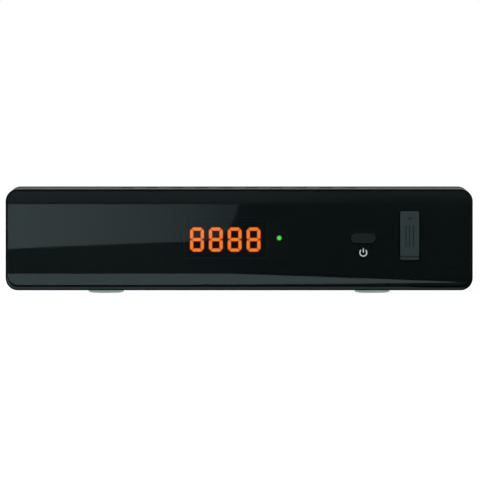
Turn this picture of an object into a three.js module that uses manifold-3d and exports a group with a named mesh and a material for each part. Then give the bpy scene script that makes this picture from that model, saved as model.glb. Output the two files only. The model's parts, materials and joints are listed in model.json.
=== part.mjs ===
// A compact digital television receiver: a folded steel case with a glossy plastic front.
// Millimetres, +Z up, +X to the right seen from the front. The front faces -Y and the sockets face +Y.
// Depths count from the face of the front window, and the whole part is moved at the end so that its
// box is centred on the origin in X and Y and stands on Z = 0.
import * as THREE from "three";
import { mergeVertices } from "three/addons/utils/BufferGeometryUtils.js";
import Module from "manifold-3d";

const wasm = await Module();
wasm.setup();

// Driving dimensions of the whole receiver
const width = 168;
const bezelHeight = 36.4;
const bezelGroundGap = 1.4;
const caseDepth = 98;
const cornerRadius = 4.4;
const sheet = 0.8;
const clearance = 0.2;
const overrun = 1;

// Front window: a moulded plate of three facets
const windowThickness = 2;
const windowRim = 0.6;
const windowSill = 1.7;
const topFacetHeight = 4.6;
const bottomFacetHeight = 4.1;
const facetSetback = 0.7;

// Front bezel: a box open at the back, with a wall behind the window
const bezelDepth = 16;
const bezelWall = 2;
const faceWall = 1.8;
const rimSetback = 0.2;
const hookWidth = 10;
const hookReach = 7;
const hookThickness = 1.5;
const hookRoot = 4;
const hookInset = 32;

// Steel cover and chassis
const coverInset = 0.3;
const lipHeight = 6;
const panGroundGap = 2.4;
const flangeHeight = 12;
const footTopRadius = 7;
const footLowRadius = 6.35;
const footFlatRadius = 4.2;
const footRoundHeight = 0.6;
const footSideInset = 36;
const footEndInset = 13.4;

// Cooling slots
const slotWidth = 1.8;
const slotLength = 12;
const topSlotWidth = 4.6;
const topSlotLength = 14;
const topSlotPitchX = 9;
const topSlotPitchY = 19;
const topSlotFieldSetback = 12;
const sideSlotHeight = 9;
const sideSlotPitch = 5;
const sideSlotTopGap = 8;
const bottomSlotPitch = 6;

// Screws
const screwHeadRadius = 2.7;
const screwHeadHeight = 1.4;
const screwShankRadius = 1.25;
const screwLength = 5;
const coverScrewInset = 20;
const sideScrewSetback = 14;
const sideScrewRise = 6.6;
const lipScrewDrop = 3.4;

// Main board and its posts
const postHeight = 4;
const postRadius = 3.2;
const boardThickness = 1.6;
const boardSideGap = 7;
const boardRearGap = 0.6;
const boardFrontGap = 6;
const boardHoleInset = 5;

// Front board, which stands behind the bezel wall
const displayBoardSetback = 12.8;
const displayBoardMargin = 3.4;
const displayBoardEdge = 10;
const displayPostRadius = 2.8;
const displayScrewInset = 3.6;

// Four-digit display
const digitWidth = 5.1;
const digitHeight = 9;
const digitPitch = 6.78;
const barWidth = 1.15;
const barGap = 0.16;
const digitChamfer = 0.85;
const digitPlateMargin = 0.35;
const digitPlateThickness = 0.4;
const barHeight = 0.8;
const displayBorder = 2;
const displayDepth = 7.4;

// Status light, infrared eye and standby button
const lightRise = 0.6;
const lightPipeRadius = 1;
const lightCollarRadius = 1.9;
const lightCollarThickness = 1;
const lightBodyRadius = 1.5;
const lightBodyLength = 3.6;
const eyeWindowRadius = 2.4;
const eyeDomeRadius = 1.9;
const eyeWidth = 6;
const eyeHeight = 6.6;
const eyeBodyDepth = 4.4;
const eyeDomeLength = 3;
const buttonRise = 0.5;
const buttonWidth = 8.75;
const buttonHeight = 3.5;
const buttonProud = 0.35;
const buttonFlangeMargin = 1.4;
const buttonFlangeThickness = 1.2;
const buttonStemRadius = 1.6;
const buttonTravel = 0.5;
const switchSize = 6;
const switchDepth = 3.4;
const plungerRadius = 1.7;
const plungerProud = 1.6;
const plungerInside = 1.4;

// USB socket on the front board and its rubber cover
const usbInset = 22.7;
const usbRise = 1.5;
const usbShellWidth = 5.7;
const usbShellHeight = 13.1;
const usbShellWall = 0.3;
const usbMouthSetback = 0.6;
const usbTongueThickness = 1.8;
const usbTongueHeight = 11.1;
const usbTongueSetback = 3.2;
const usbTongueShift = 1;
const usbBackThickness = 2;
const coverWidth = 6.9;
const coverHeight = 17.5;
const coverProud = 0.5;
const coverSeam = 0.35;
const coverCorner = 0.7;
const anchorHeight = 1;
const anchorPegWidth = 3;
const anchorBarbWidth = 5;
const anchorBarbLength = 1;
const plugHeight = 9.4;
const plugWidth = 4.4;
const plugInsertion = 2;
const plugWall = 1;

// Rear sockets
const rfSpacing = 18;
const rfCentreHeight = 8.5;
const rfSleeveRadius = 4.75;
const rfSleeveLength = 9.5;
const rfWall = 0.7;
const rfFlangeRadius = 6;
const rfFlangeThickness = 1.2;
const rfPinRadius = 1.15;
const rfCoreRadius = 2.6;
const rfBoreRadius = 1.3;
const tunerWidth = 37;
const tunerDepth = 27;
const tunerHeight = 14.5;
const audioBodyWidth = 10;
const audioBodyHeight = 12.5;
const audioBodyDepth = 11;
const audioBarrelRadius = 4.15;
const audioBoreRadius = 1.65;
const audioBarrelLength = 8;
const audioCollarRadius = 4.9;
const audioCollarLength = 1.4;
const audioCentreHeight = 7.6;
const audioBoreDepth = 6;
const hdmiWidth = 15;
const hdmiHeight = 5.6;
const hdmiDepth = 11;
const hdmiShoulder = 1.6;
const hdmiShell = 0.35;
const hdmiTongueWidth = 11.6;
const hdmiTongueThickness = 1;
const hdmiProud = 0.6;
const hdmiLift = 0.4;
const scartWidth = 47.4;
const scartHeight = 19;
const scartDepth = 13;
const scartShoulder = 0.5;
const scartGroove = 1.7;
const scartBorder = 1.3;
const scartGrooveDepth = 9;
const scartProud = 0.8;
const scartContactWidth = 0.9;
const scartContactDepth = 6;
const powerBodyWidth = 9;
const powerBodyHeight = 11;
const powerBodyDepth = 14;
const powerBoreRadius = 3.15;
const powerBoreDepth = 9.5;
const powerPinRadius = 1.05;
const powerPinSetback = 1.6;
const powerCentreHeight = 6.4;
const powerProud = 0.4;

// Parts on the main board
const chipThickness = 1.4;
const processorSize = 21;
const heatsinkSize = 25;
const heatsinkBase = 2.2;
const heatsinkHeight = 10;
const heatsinkFin = 1.1;
const memoryWidth = 13;
const memoryDepth = 9;
const flashWidth = 8;
const flashDepth = 6;
const crystalWidth = 11;
const crystalDepth = 4.6;
const crystalHeight = 3.6;
const largeCapacitorRadius = 5;
const largeCapacitorHeight = 13;
const smallCapacitorRadius = 3.2;
const smallCapacitorHeight = 8;
const inductorSize = 8;
const inductorHeight = 4.5;
const inductorCorner = 1.6;

// Flat cable between the two boards
const cableWidth = 15;
const cableThickness = 0.5;
const cableBendRadius = 5;
const cableX = -2;
const connectorWidth = 19;
const connectorHeight = 2.6;
const connectorDepth = 5;
const cableInsertion = 2;
const cableStraight = 7;

// Counts and shares
const cornerSteps = 6;
const slotEndSteps = 3;
const roundSides = 24;
const smallRoundSides = 12;
const footSides = 24;
const footRoundSteps = 4;
const topSlotColumns = 10;
const topSlotRows = 3;
const sideSlotCount = 8;
const bottomSlotCount = 8;
const heatsinkFins = 7;
const digitCount = 4;
const scartContactColumns = 10;
const displayShare = 0.0595;
const lightShare = 0.0972;
const eyeShare = 0.338;
const buttonShare = 0.7247;
const scartSlantShare = 0.39;
const scartContactShare = 0.22;
const scartRowShare = 0.4;
const scartShiftShare = 0.22;

// Levels and limits that follow from the driving dimensions
const bezelBottom = bezelGroundGap;
const bezelTop = bezelGroundGap + bezelHeight;
const bezelMiddle = (bezelBottom + bezelTop) / 2;
const coverHalf = width / 2 - coverInset;
const coverTop = bezelTop - coverInset;
const coverSideBottom = bezelBottom + cornerRadius;
const chassisHalf = coverHalf - sheet - clearance;
const chassisTop = coverTop - sheet - clearance;
const chassisCorner = cornerRadius - coverInset - sheet - clearance;
const panTop = panGroundGap + sheet;
const steelFront = bezelDepth + clearance;
const wallRear = caseDepth - sheet - clearance;
const wallFront = wallRear - sheet;
const windowBack = windowThickness;
const wallFace = windowBack + clearance;
const wallBack = wallFace + faceWall;
const windowLeft = -(width / 2 - windowRim - clearance);
const windowRight = -windowLeft;
const windowBottom = bezelBottom + windowSill + clearance;
const windowTop = bezelTop - windowRim - clearance;
const windowCorner = cornerRadius - windowRim - clearance;
const facetLow = windowBottom + bottomFacetHeight;
const facetHigh = windowTop - topFacetHeight;
const boardBottom = panTop + postHeight;
const boardTop = boardBottom + boardThickness;
const boardHalf = chassisHalf - sheet - boardSideGap;
const boardRear = wallFront - boardRearGap;
const boardFront = steelFront + boardFrontGap;
const displayZ = bezelMiddle;
const lightZ = bezelMiddle + lightRise;
const buttonZ = bezelMiddle + buttonRise;
const usbZ = bezelMiddle + usbRise;
const displayBoardBack = displayBoardSetback + boardThickness;
const usbX = width / 2 - usbInset;
const displayX = (-width / 2) * displayShare;
const displayHalfWidth = (digitPitch * (digitCount - 1) + digitWidth) / 2 + displayBorder;
const displayHalfHeight = digitHeight / 2 + displayBorder;
const frontRoomLeft = displayX + displayHalfWidth;
const frontRoom = usbX - coverWidth / 2 - frontRoomLeft;
const lightX = frontRoomLeft + frontRoom * lightShare;
const eyeX = frontRoomLeft + frontRoom * eyeShare;
const buttonX = frontRoomLeft + frontRoom * buttonShare;
const hookX = width / 2 - hookInset;
const footX = width / 2 - footSideInset;
const coverScrewX = width / 2 - coverScrewInset;
const scartFaceWidth = scartWidth - scartBorder * 2;
const scartFaceHeight = scartHeight - (scartBorder + scartShoulder) * 2;
const scartSlant = scartFaceHeight * scartSlantShare;
const scartContactHeight = scartFaceHeight * scartContactShare;
const scartRowSpacing = scartFaceHeight * scartRowShare;
const scartContactPitch = (scartFaceWidth - scartSlant) / scartContactColumns;

// A closed geometry with merged vertices becomes a solid that can be cut and joined.
function solid(geometry) {
  const bare = geometry.clone();
  bare.deleteAttribute("normal");
  bare.deleteAttribute("uv");
  const merged = mergeVertices(bare);
  return new wasm.Manifold(
    new wasm.Mesh({
      numProp: 3,
      vertProperties: merged.getAttribute("position").array,
      triVerts: new Uint32Array(merged.index.array),
    }),
  );
}

function join(...geometries) {
  return geometries.map(solid).reduce((sum, next) => sum.add(next));
}

function cut(body, ...tools) {
  return tools.reduce((rest, tool) => rest.subtract(solid(tool)), body);
}

// The geometry of a solid, with flat-shaded faces.
function faceted(body) {
  const mesh = body.getMesh();
  const indexed = new THREE.BufferGeometry();
  indexed.setAttribute("position", new THREE.BufferAttribute(mesh.vertProperties, 3));
  indexed.setIndex(new THREE.BufferAttribute(mesh.triVerts, 1));
  const geometry = indexed.toNonIndexed();
  geometry.computeVertexNormals();
  return geometry;
}

// A block by its limits along each axis.
function block(x0, x1, y0, y1, z0, z1) {
  const geometry = new THREE.BoxGeometry(x1 - x0, y1 - y0, z1 - z0);
  return geometry.translate((x0 + x1) / 2, (y0 + y1) / 2, (z0 + z1) / 2);
}

// A round bar along Y, centred on x and z.
function barY(radius, x, z, y0, y1, sides = smallRoundSides) {
  const geometry = new THREE.CylinderGeometry(radius, radius, y1 - y0, sides);
  return geometry.translate(x, (y0 + y1) / 2, z);
}

// A round bar along Z, centred on x and y.
function barZ(radius, x, y, z0, z1, sides = smallRoundSides) {
  const geometry = new THREE.CylinderGeometry(radius, radius, z1 - z0, sides);
  return geometry.rotateX(Math.PI / 2).translate(x, y, (z0 + z1) / 2);
}

// A round bar along X, centred on y and z.
function barX(radius, y, z, x0, x1, sides = smallRoundSides) {
  const geometry = new THREE.CylinderGeometry(radius, radius, x1 - x0, sides);
  return geometry.rotateZ(Math.PI / 2).translate((x0 + x1) / 2, y, z);
}

// A rectangle with round corners, by its limits.
function roundedRectangle(x0, x1, z0, z1, radius) {
  const shape = new THREE.Shape();
  shape.moveTo(x0 + radius, z0);
  shape.lineTo(x1 - radius, z0);
  shape.absarc(x1 - radius, z0 + radius, radius, -Math.PI / 2, 0, false);
  shape.lineTo(x1, z1 - radius);
  shape.absarc(x1 - radius, z1 - radius, radius, 0, Math.PI / 2, false);
  shape.lineTo(x0 + radius, z1);
  shape.absarc(x0 + radius, z1 - radius, radius, Math.PI / 2, Math.PI, false);
  shape.lineTo(x0, z0 + radius);
  shape.absarc(x0 + radius, z0 + radius, radius, Math.PI, Math.PI * 1.5, false);
  return shape;
}

// A slot with round ends along its second axis.
function slotShape(x, z, slotWide, slotLong) {
  const radius = slotWide / 2;
  const reach = slotLong / 2 - radius;
  const shape = new THREE.Shape();
  shape.moveTo(x + radius, z - reach);
  shape.absarc(x, z + reach, radius, 0, Math.PI, false);
  shape.absarc(x, z - reach, radius, Math.PI, Math.PI * 2, false);
  return shape;
}

function polygon(points) {
  return new THREE.Shape(points.map(([x, z]) => new THREE.Vector2(x, z)));
}

function extruded(shape, depth, curveSegments) {
  return new THREE.ExtrudeGeometry(shape, { depth, curveSegments, bevelEnabled: false });
}

// A shape drawn in X and Z, made solid from y0 to y1.
function alongY(shape, y0, y1, steps = cornerSteps) {
  return extruded(shape, y1 - y0, steps).rotateX(Math.PI / 2).translate(0, y1, 0);
}

// A shape drawn in X and Y, made solid from z0 to z1.
function alongZ(shape, z0, z1, steps = cornerSteps) {
  return extruded(shape, z1 - z0, steps).translate(0, 0, z0);
}

// A shape drawn in Y and Z, made solid from x0 to x1.
function alongX(shape, x0, x1, steps = cornerSteps) {
  const turn = new THREE.Matrix4().makeBasis(
    new THREE.Vector3(0, 1, 0),
    new THREE.Vector3(0, 0, 1),
    new THREE.Vector3(1, 0, 0),
  );
  return extruded(shape, x1 - x0, steps).applyMatrix4(turn).translate(x0, 0, 0);
}

function finish(color, roughness, metalness) {
  return new THREE.MeshStandardMaterial({ color, roughness, metalness });
}

const glossBlack = finish(0x0e1313, 0.08, 0);
const smokedAcrylic = finish(0x0e1315, 0.04, 0);
const buttonPlastic = finish(0x1a2121, 0.35, 0);
const rubberGrey = finish(0x2a3335, 0.7, 0);
const paintedSteel = finish(0x17191a, 0.55, 0.2);
const zincSteel = finish(0x9aa39f, 0.4, 0.9);
const screwSteel = finish(0x33363a, 0.35, 0.9);
const plainPlastic = finish(0x121314, 0.5, 0);
const amberEpoxy = finish(0xff7d23, 0.4, 0);
const greenEpoxy = finish(0x2fe31f, 0.3, 0);
const circuitGreen = finish(0x14502c, 0.5, 0);
const socketSteel = finish(0xb9bcbc, 0.3, 1);
const orangePlastic = finish(0xd0661c, 0.45, 0);
const chipBlack = finish(0x1b1b1d, 0.6, 0);
const finAluminium = finish(0xb4b7ba, 0.4, 0.9);
const capacitorSleeve = finish(0x1d2430, 0.45, 0);
const ferriteGrey = finish(0x3a3a3c, 0.7, 0);
const cableWhite = finish(0xd8d8d2, 0.5, 0);
const connectorIvory = finish(0xd9d2bd, 0.5, 0);

const receiver = new THREE.Group();

// Adds one named piece. A body is a geometry or a solid.
function piece(parent, name, body, material) {
  const geometry = body.isBufferGeometry ? body : faceted(body);
  const mesh = new THREE.Mesh(geometry, material);
  mesh.name = name;
  parent.add(mesh);
  return mesh;
}

// How far the front face stands back at a height: flat in the middle, leaning back above and below.
function faceAt(z) {
  const below = Math.max(0, facetLow - z) * (facetSetback / bottomFacetHeight);
  const above = Math.max(0, z - facetHigh) * (facetSetback / topFacetHeight);
  return below + above;
}

// Everything behind the three-faceted face, down to a depth.
function behindFace(x0, x1, z0, z1, setback, depth) {
  const outline = polygon([
    [faceAt(z0) + setback, z0],
    [depth, z0],
    [depth, z1],
    [faceAt(z1) + setback, z1],
    [setback, facetHigh],
    [setback, facetLow],
  ]);
  return alongX(outline, x0, x1);
}

// The long hole shape of the standby button, grown by a margin all round.
function buttonShape(margin) {
  const long = buttonWidth + margin * 2;
  const high = buttonHeight + margin * 2;
  return roundedRectangle(
    buttonX - long / 2,
    buttonX + long / 2,
    buttonZ - high / 2,
    buttonZ + high / 2,
    high / 2,
  );
}

// The outline of the USB cover, grown by a margin all round.
function usbCoverShape(margin) {
  return roundedRectangle(
    usbX - coverWidth / 2 - margin,
    usbX + coverWidth / 2 + margin,
    usbZ - coverHeight / 2 - margin,
    usbZ + coverHeight / 2 + margin,
    coverCorner + margin,
  );
}

function makeWindow() {
  const outline = roundedRectangle(windowLeft, windowRight, windowBottom, windowTop, windowCorner);
  const plate = solid(alongY(outline, -overrun, windowBack));
  const face = behindFace(
    windowLeft - overrun,
    windowRight + overrun,
    windowBottom - overrun,
    windowTop + overrun,
    0,
    windowBack + overrun,
  );
  return cut(
    plate.intersect(solid(face)),
    alongY(buttonShape(clearance), -overrun, windowBack + overrun),
    alongY(usbCoverShape(coverSeam), -overrun, windowBack + overrun),
  );
}

// The four places where the front board is screwed to the bezel.
const displayBoardLeft = displayX - displayHalfWidth - displayBoardEdge;
const displayBoardRight = usbX + usbShellWidth / 2 + displayBoardEdge / 2;
const displayBoardLow = bezelBottom + bezelWall + displayBoardMargin;
const displayBoardHigh = bezelTop - bezelWall - displayBoardMargin;
const displayScrewXs = [displayBoardLeft + displayScrewInset, (eyeX + buttonX) / 2];
const displayScrewZs = [displayBoardLow + displayScrewInset, displayBoardHigh - displayScrewInset];
const displayScrews = displayScrewXs.flatMap((x) => displayScrewZs.map((z) => [x, z]));

// One hook that reaches back from the bezel into the case, under the cover or over the pan.
function hook(x, top) {
  const roomTop = coverTop - sheet - clearance;
  const roomBottom = panTop + clearance;
  const z0 = top ? roomTop - hookThickness : roomBottom;
  const z1 = top ? roomTop : roomBottom + hookThickness;
  const rootLow = top ? z0 : bezelBottom + bezelWall / 2;
  const rootHigh = top ? bezelTop - bezelWall / 2 : z1;
  const x0 = x - hookWidth / 2;
  const x1 = x + hookWidth / 2;
  return [
    block(x0, x1, bezelDepth - hookRoot, bezelDepth + hookReach, z0, z1),
    block(x0, x1, bezelDepth - hookRoot, bezelDepth, rootLow, rootHigh),
  ];
}

function makeBezel() {
  const half = width / 2;
  const outline = roundedRectangle(-half, half, bezelBottom, bezelTop, cornerRadius);
  const shell = solid(alongY(outline, -overrun, bezelDepth)).intersect(
    solid(
      behindFace(
        -half - overrun,
        half + overrun,
        bezelBottom - overrun,
        bezelTop + overrun,
        rimSetback,
        bezelDepth + overrun,
      ),
    ),
  );
  const seat = roundedRectangle(
    windowLeft - clearance,
    windowRight + clearance,
    windowBottom - clearance,
    windowTop + clearance,
    windowCorner + clearance,
  );
  const hollow = roundedRectangle(
    -half + bezelWall,
    half - bezelWall,
    bezelBottom + bezelWall,
    bezelTop - bezelWall,
    cornerRadius - bezelWall,
  );
  const through = [-overrun, wallBack + overrun];
  const usbHalfWide = usbShellWidth / 2 + clearance;
  const usbHalfHigh = usbShellHeight / 2 + clearance;
  const pegHalfWide = anchorPegWidth / 2 + clearance;
  const anchorLow = usbZ - coverHeight / 2;
  const frame = cut(
    shell,
    alongY(seat, -overrun, wallFace),
    alongY(hollow, wallBack, bezelDepth + overrun),
    block(
      displayX - displayHalfWidth - clearance,
      displayX + displayHalfWidth + clearance,
      ...through,
      displayZ - displayHalfHeight - clearance,
      displayZ + displayHalfHeight + clearance,
    ),
    barY(lightPipeRadius + clearance, lightX, lightZ, ...through),
    barY(eyeWindowRadius, eyeX, lightZ, ...through),
    alongY(buttonShape(clearance), ...through),
    block(usbX - usbHalfWide, usbX + usbHalfWide, ...through, usbZ - usbHalfHigh, usbZ + usbHalfHigh),
    block(
      usbX - pegHalfWide,
      usbX + pegHalfWide,
      ...through,
      anchorLow - clearance,
      anchorLow + anchorHeight + clearance,
    ),
  );
  const posts = displayScrews.map(([x, z]) =>
    barY(displayPostRadius, x, z, wallBack - faceWall / 2, displayBoardSetback - clearance),
  );
  const hooks = [-hookX, hookX].flatMap((x) => [...hook(x, true), ...hook(x, false)]);
  const bores = displayScrews.map(([x, z]) =>
    barY(screwShankRadius + clearance, x, z, wallBack, displayBoardSetback + overrun),
  );
  return cut(frame.add(join(...posts)).add(join(...hooks)), ...bores);
}

const front = new THREE.Group();
receiver.add(front);
piece(front, "front_window", makeWindow(), smokedAcrylic);
piece(front, "front_bezel", makeBezel(), glossBlack);

// USB cover: a rubber flap hung on its anchor strip by a thin web at the front
const usbMouth = wallFace + usbMouthSetback;
const usbCoverLow = usbZ - coverHeight / 2;
const usbCoverHigh = usbZ + coverHeight / 2;
const usbHingeZ = usbCoverLow + anchorHeight + clearance / 2;
const coverBack = windowBack;

function makeUsbCover() {
  const flap = solid(alongY(usbCoverShape(0), -coverProud, coverBack));
  const half = coverWidth / 2 + overrun;
  const low = usbHingeZ + clearance / 2;
  const trimmed = cut(
    flap,
    block(usbX - half, usbX + half, -coverProud - overrun, coverBack + overrun, usbCoverLow - overrun, low),
  );
  const plugX = plugWidth / 2;
  const plugZ = plugHeight / 2;
  const plugBack = usbMouth + plugInsertion;
  const plug = block(
    usbX - plugX,
    usbX + plugX,
    coverBack - plugWall,
    plugBack,
    usbZ - plugZ,
    usbZ + plugZ,
  );
  const hollow = block(
    usbX - plugX + plugWall,
    usbX + plugX - plugWall,
    coverBack + clearance,
    plugBack + overrun,
    usbZ - plugZ + plugWall,
    usbZ + plugZ - plugWall,
  );
  return cut(trimmed.add(solid(plug)), hollow);
}

function makeUsbAnchor() {
  const half = coverWidth / 2 + overrun;
  const top = usbHingeZ - clearance / 2;
  const strip = cut(
    solid(alongY(usbCoverShape(0), -coverProud, coverBack)),
    block(usbX - half, usbX + half, -coverProud - overrun, coverBack + overrun, top, usbCoverHigh + overrun),
  );
  const peg = anchorPegWidth / 2;
  const barb = anchorBarbWidth / 2;
  const barbFront = wallBack + clearance;
  return strip.add(
    join(
      block(usbX - peg, usbX + peg, coverBack - clearance, barbFront + clearance, usbCoverLow, top),
      block(
        usbX - barb,
        usbX + barb,
        barbFront,
        barbFront + anchorBarbLength,
        usbCoverLow - anchorHeight / 2,
        top,
      ),
    ),
  );
}

piece(front, "usb_cover", makeUsbCover(), rubberGrey);
piece(front, "usb_cover_anchor", makeUsbAnchor(), rubberGrey);

function makeUsbSocket() {
  const back = displayBoardSetback - clearance;
  const x = usbShellWidth / 2;
  const z = usbShellHeight / 2;
  const cavityBack = back - usbBackThickness;
  const shell = cut(
    solid(block(usbX - x, usbX + x, usbMouth, back, usbZ - z, usbZ + z)),
    block(
      usbX - x + usbShellWall,
      usbX + x - usbShellWall,
      usbMouth - overrun,
      cavityBack,
      usbZ - z + usbShellWall,
      usbZ + z - usbShellWall,
    ),
  );
  const tongueX = usbX + usbTongueShift;
  const tongue = block(
    tongueX - usbTongueThickness / 2,
    tongueX + usbTongueThickness / 2,
    usbMouth + usbTongueSetback,
    cavityBack + usbBackThickness / 2,
    usbZ - usbTongueHeight / 2,
    usbZ + usbTongueHeight / 2,
  );
  return shell.add(solid(tongue));
}

piece(front, "usb_socket", makeUsbSocket(), socketSteel);

// Standby button, the switch that it presses and the switch's plunger
const switchFront = displayBoardSetback - clearance - switchDepth;
const plungerFront = switchFront - plungerProud;

function makeButton() {
  const flangeFront = wallBack + clearance;
  const flangeBack = flangeFront + buttonFlangeThickness;
  return join(
    alongY(buttonShape(0), -buttonProud, flangeFront + buttonFlangeThickness / 2),
    alongY(buttonShape(buttonFlangeMargin), flangeFront, flangeBack),
    barY(
      buttonStemRadius,
      buttonX,
      buttonZ,
      flangeBack - buttonFlangeThickness / 2,
      plungerFront - clearance,
    ),
  );
}

function makeSwitch() {
  const half = switchSize / 2;
  const back = displayBoardSetback - clearance;
  return cut(
    solid(block(buttonX - half, buttonX + half, switchFront, back, buttonZ - half, buttonZ + half)),
    barY(
      plungerRadius + clearance,
      buttonX,
      buttonZ,
      switchFront - overrun,
      switchFront + plungerInside + buttonTravel + clearance,
    ),
  );
}

piece(front, "standby_button", makeButton(), buttonPlastic);
piece(front, "button_switch", makeSwitch(), plainPlastic);
piece(
  front,
  "switch_plunger",
  barY(plungerRadius, buttonX, buttonZ, plungerFront, switchFront + plungerInside),
  plainPlastic,
);

// The seven bars of a digit, as outlines round its centre. Each end is cut at 45 degrees.
function digitBars() {
  const right = digitWidth / 2;
  const top = digitHeight / 2;
  const gap = barGap;
  const inner = barWidth;
  const waist = barWidth / 2;
  const chamferNear = (digitChamfer - gap) / 2;
  const chamferFar = (digitChamfer + gap) / 2;
  const bars = [];
  for (const up of [1, -1]) {
    const half = [
      [right - digitChamfer, top],
      [right - chamferFar, top - chamferNear],
      [right - inner - gap, top - inner],
    ];
    const mirrored = half.map(([x, z]) => [-x, z]).reverse();
    bars.push([...half, ...mirrored].map(([x, z]) => [x, z * up]));
    for (const side of [1, -1]) {
      const upright = [
        [right, top - digitChamfer],
        [right - chamferNear, top - chamferFar],
        [right - inner, top - inner - gap],
        [right - inner, waist + gap],
        [right - waist, gap],
        [right, waist],
      ];
      bars.push(upright.map(([x, z]) => [x * side, z * up]));
    }
  }
  bars.push([
    [right - waist - gap, 0],
    [right - inner - gap, waist],
    [-right + inner + gap, waist],
    [-right + waist + gap, 0],
    [-right + inner + gap, -waist],
    [right - inner - gap, -waist],
  ]);
  return bars;
}

// Display: a dark body with one pocket for each digit's light bars
const displayFront = wallFace;
const pocketDepth = digitPlateThickness + barHeight;
const digitHalfPlate = digitWidth / 2 + digitPlateMargin;
const digitHalfPlateHeight = digitHeight / 2 + digitPlateMargin;
const digitXs = Array.from(
  { length: digitCount },
  (_, i) => displayX + (i - (digitCount - 1) / 2) * digitPitch,
);

function makeDisplayBody() {
  const body = block(
    displayX - displayHalfWidth,
    displayX + displayHalfWidth,
    displayFront,
    displayFront + displayDepth,
    displayZ - displayHalfHeight,
    displayZ + displayHalfHeight,
  );
  const pockets = digitXs.map((x) =>
    block(
      x - digitHalfPlate - clearance,
      x + digitHalfPlate + clearance,
      displayFront - overrun,
      displayFront + pocketDepth + clearance,
      displayZ - digitHalfPlateHeight - clearance,
      displayZ + digitHalfPlateHeight + clearance,
    ),
  );
  return cut(solid(body), ...pockets);
}

function makeDigit(x) {
  const back = displayFront + pocketDepth;
  const plateFront = back - digitPlateThickness;
  const plate = block(
    x - digitHalfPlate,
    x + digitHalfPlate,
    plateFront,
    back,
    displayZ - digitHalfPlateHeight,
    displayZ + digitHalfPlateHeight,
  );
  const bars = digitBars().map((points) => {
    const outline = polygon(points.map(([px, pz]) => [x + px, displayZ + pz]));
    return alongY(outline, displayFront, plateFront + digitPlateThickness / 2);
  });
  return join(plate, ...bars);
}

piece(front, "display_body", makeDisplayBody(), plainPlastic);
digitXs.forEach((x, i) => piece(front, `display_digit_${i + 1}`, makeDigit(x), amberEpoxy));

// The frame that holds the display off the front board
const spacerFront = displayFront + displayDepth + clearance;
const spacerBack = displayBoardSetback - clearance;

function makeSpacer() {
  const inner = displayBorder;
  const x = displayHalfWidth;
  const z = displayHalfHeight;
  return cut(
    solid(block(displayX - x, displayX + x, spacerFront, spacerBack, displayZ - z, displayZ + z)),
    block(
      displayX - x + inner,
      displayX + x - inner,
      spacerFront - overrun,
      spacerBack + overrun,
      displayZ - z + inner,
      displayZ + z - inner,
    ),
  );
}

piece(front, "display_spacer", makeSpacer(), plainPlastic);

// Status light with its light pipe, and the infrared eye
const lightBodyBack = displayBoardSetback - clearance;
const lightBodyFront = lightBodyBack - lightBodyLength;
const lightCollarFront = wallBack + clearance;

piece(
  front,
  "status_light_pipe",
  join(
    barY(lightPipeRadius, lightX, lightZ, displayFront, lightBodyFront - clearance, smallRoundSides),
    barY(lightCollarRadius, lightX, lightZ, lightCollarFront, lightCollarFront + lightCollarThickness),
  ),
  greenEpoxy,
);
piece(
  front,
  "status_light",
  join(
    barY(lightBodyRadius, lightX, lightZ, lightBodyFront, lightBodyBack),
    barY(lightCollarRadius, lightX, lightZ, lightBodyBack - lightCollarThickness, lightBodyBack),
  ),
  greenEpoxy,
);

function makeEye() {
  const back = displayBoardSetback - clearance;
  const bodyFront = back - eyeBodyDepth;
  return join(
    block(
      eyeX - eyeWidth / 2,
      eyeX + eyeWidth / 2,
      bodyFront,
      back,
      lightZ - eyeHeight / 2,
      lightZ + eyeHeight / 2,
    ),
    barY(eyeDomeRadius, eyeX, lightZ, bodyFront - eyeDomeLength, bodyFront + eyeBodyDepth / 2),
  );
}

piece(front, "infrared_eye", makeEye(), chipBlack);

function makeDisplayBoard() {
  const plate = block(
    displayBoardLeft,
    displayBoardRight,
    displayBoardSetback,
    displayBoardBack,
    displayBoardLow,
    displayBoardHigh,
  );
  const holes = displayScrews.map(([x, z]) =>
    barY(
      screwShankRadius + clearance,
      x,
      z,
      displayBoardSetback - overrun,
      displayBoardBack + overrun,
    ),
  );
  return cut(solid(plate), ...holes);
}

piece(front, "front_board", makeDisplayBoard(), circuitGreen);

// A pan-head screw along Z, its head's underside at the origin and its shank below.
const panScrew = faceted(
  join(
    barZ(screwHeadRadius, 0, 0, 0, screwHeadHeight),
    barZ(screwShankRadius, 0, 0, -screwLength, screwHeadHeight / 2),
  ),
);

// The cone of a countersunk head along Z, its wide face at the origin. A margin grows it all round, and a
// rise carries its slope on past the wide face.
const sinkSlope = (screwHeadRadius - screwShankRadius) / screwHeadHeight;

function sinkCone(margin, rise) {
  const wide = screwHeadRadius + margin + sinkSlope * rise;
  const narrow = screwShankRadius + margin;
  const height = screwHeadHeight + rise;
  const cone = new THREE.CylinderGeometry(wide, narrow, height, smallRoundSides);
  return cone.rotateX(Math.PI / 2).translate(0, 0, rise - height / 2);
}

// A countersunk screw along Z, the face of its head at the origin.
const sunkScrew = faceted(
  join(sinkCone(0, 0), barZ(screwShankRadius, 0, 0, -screwLength, -screwHeadHeight / 2)),
);

function screw(parent, name, body, place, rotation) {
  const mesh = piece(parent, name, body, screwSteel);
  mesh.position.set(...place);
  mesh.rotation.set(...rotation);
}

const headUp = [0, 0, 0];
const headBack = [-Math.PI / 2, 0, 0];
const headRight = [0, Math.PI / 2, 0];
const headLeft = [0, -Math.PI / 2, 0];

displayScrews.forEach(([x, z], i) =>
  screw(front, `front_board_screw_${i + 1}`, panScrew, [x, displayBoardBack + clearance, z], headBack),
);

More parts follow.
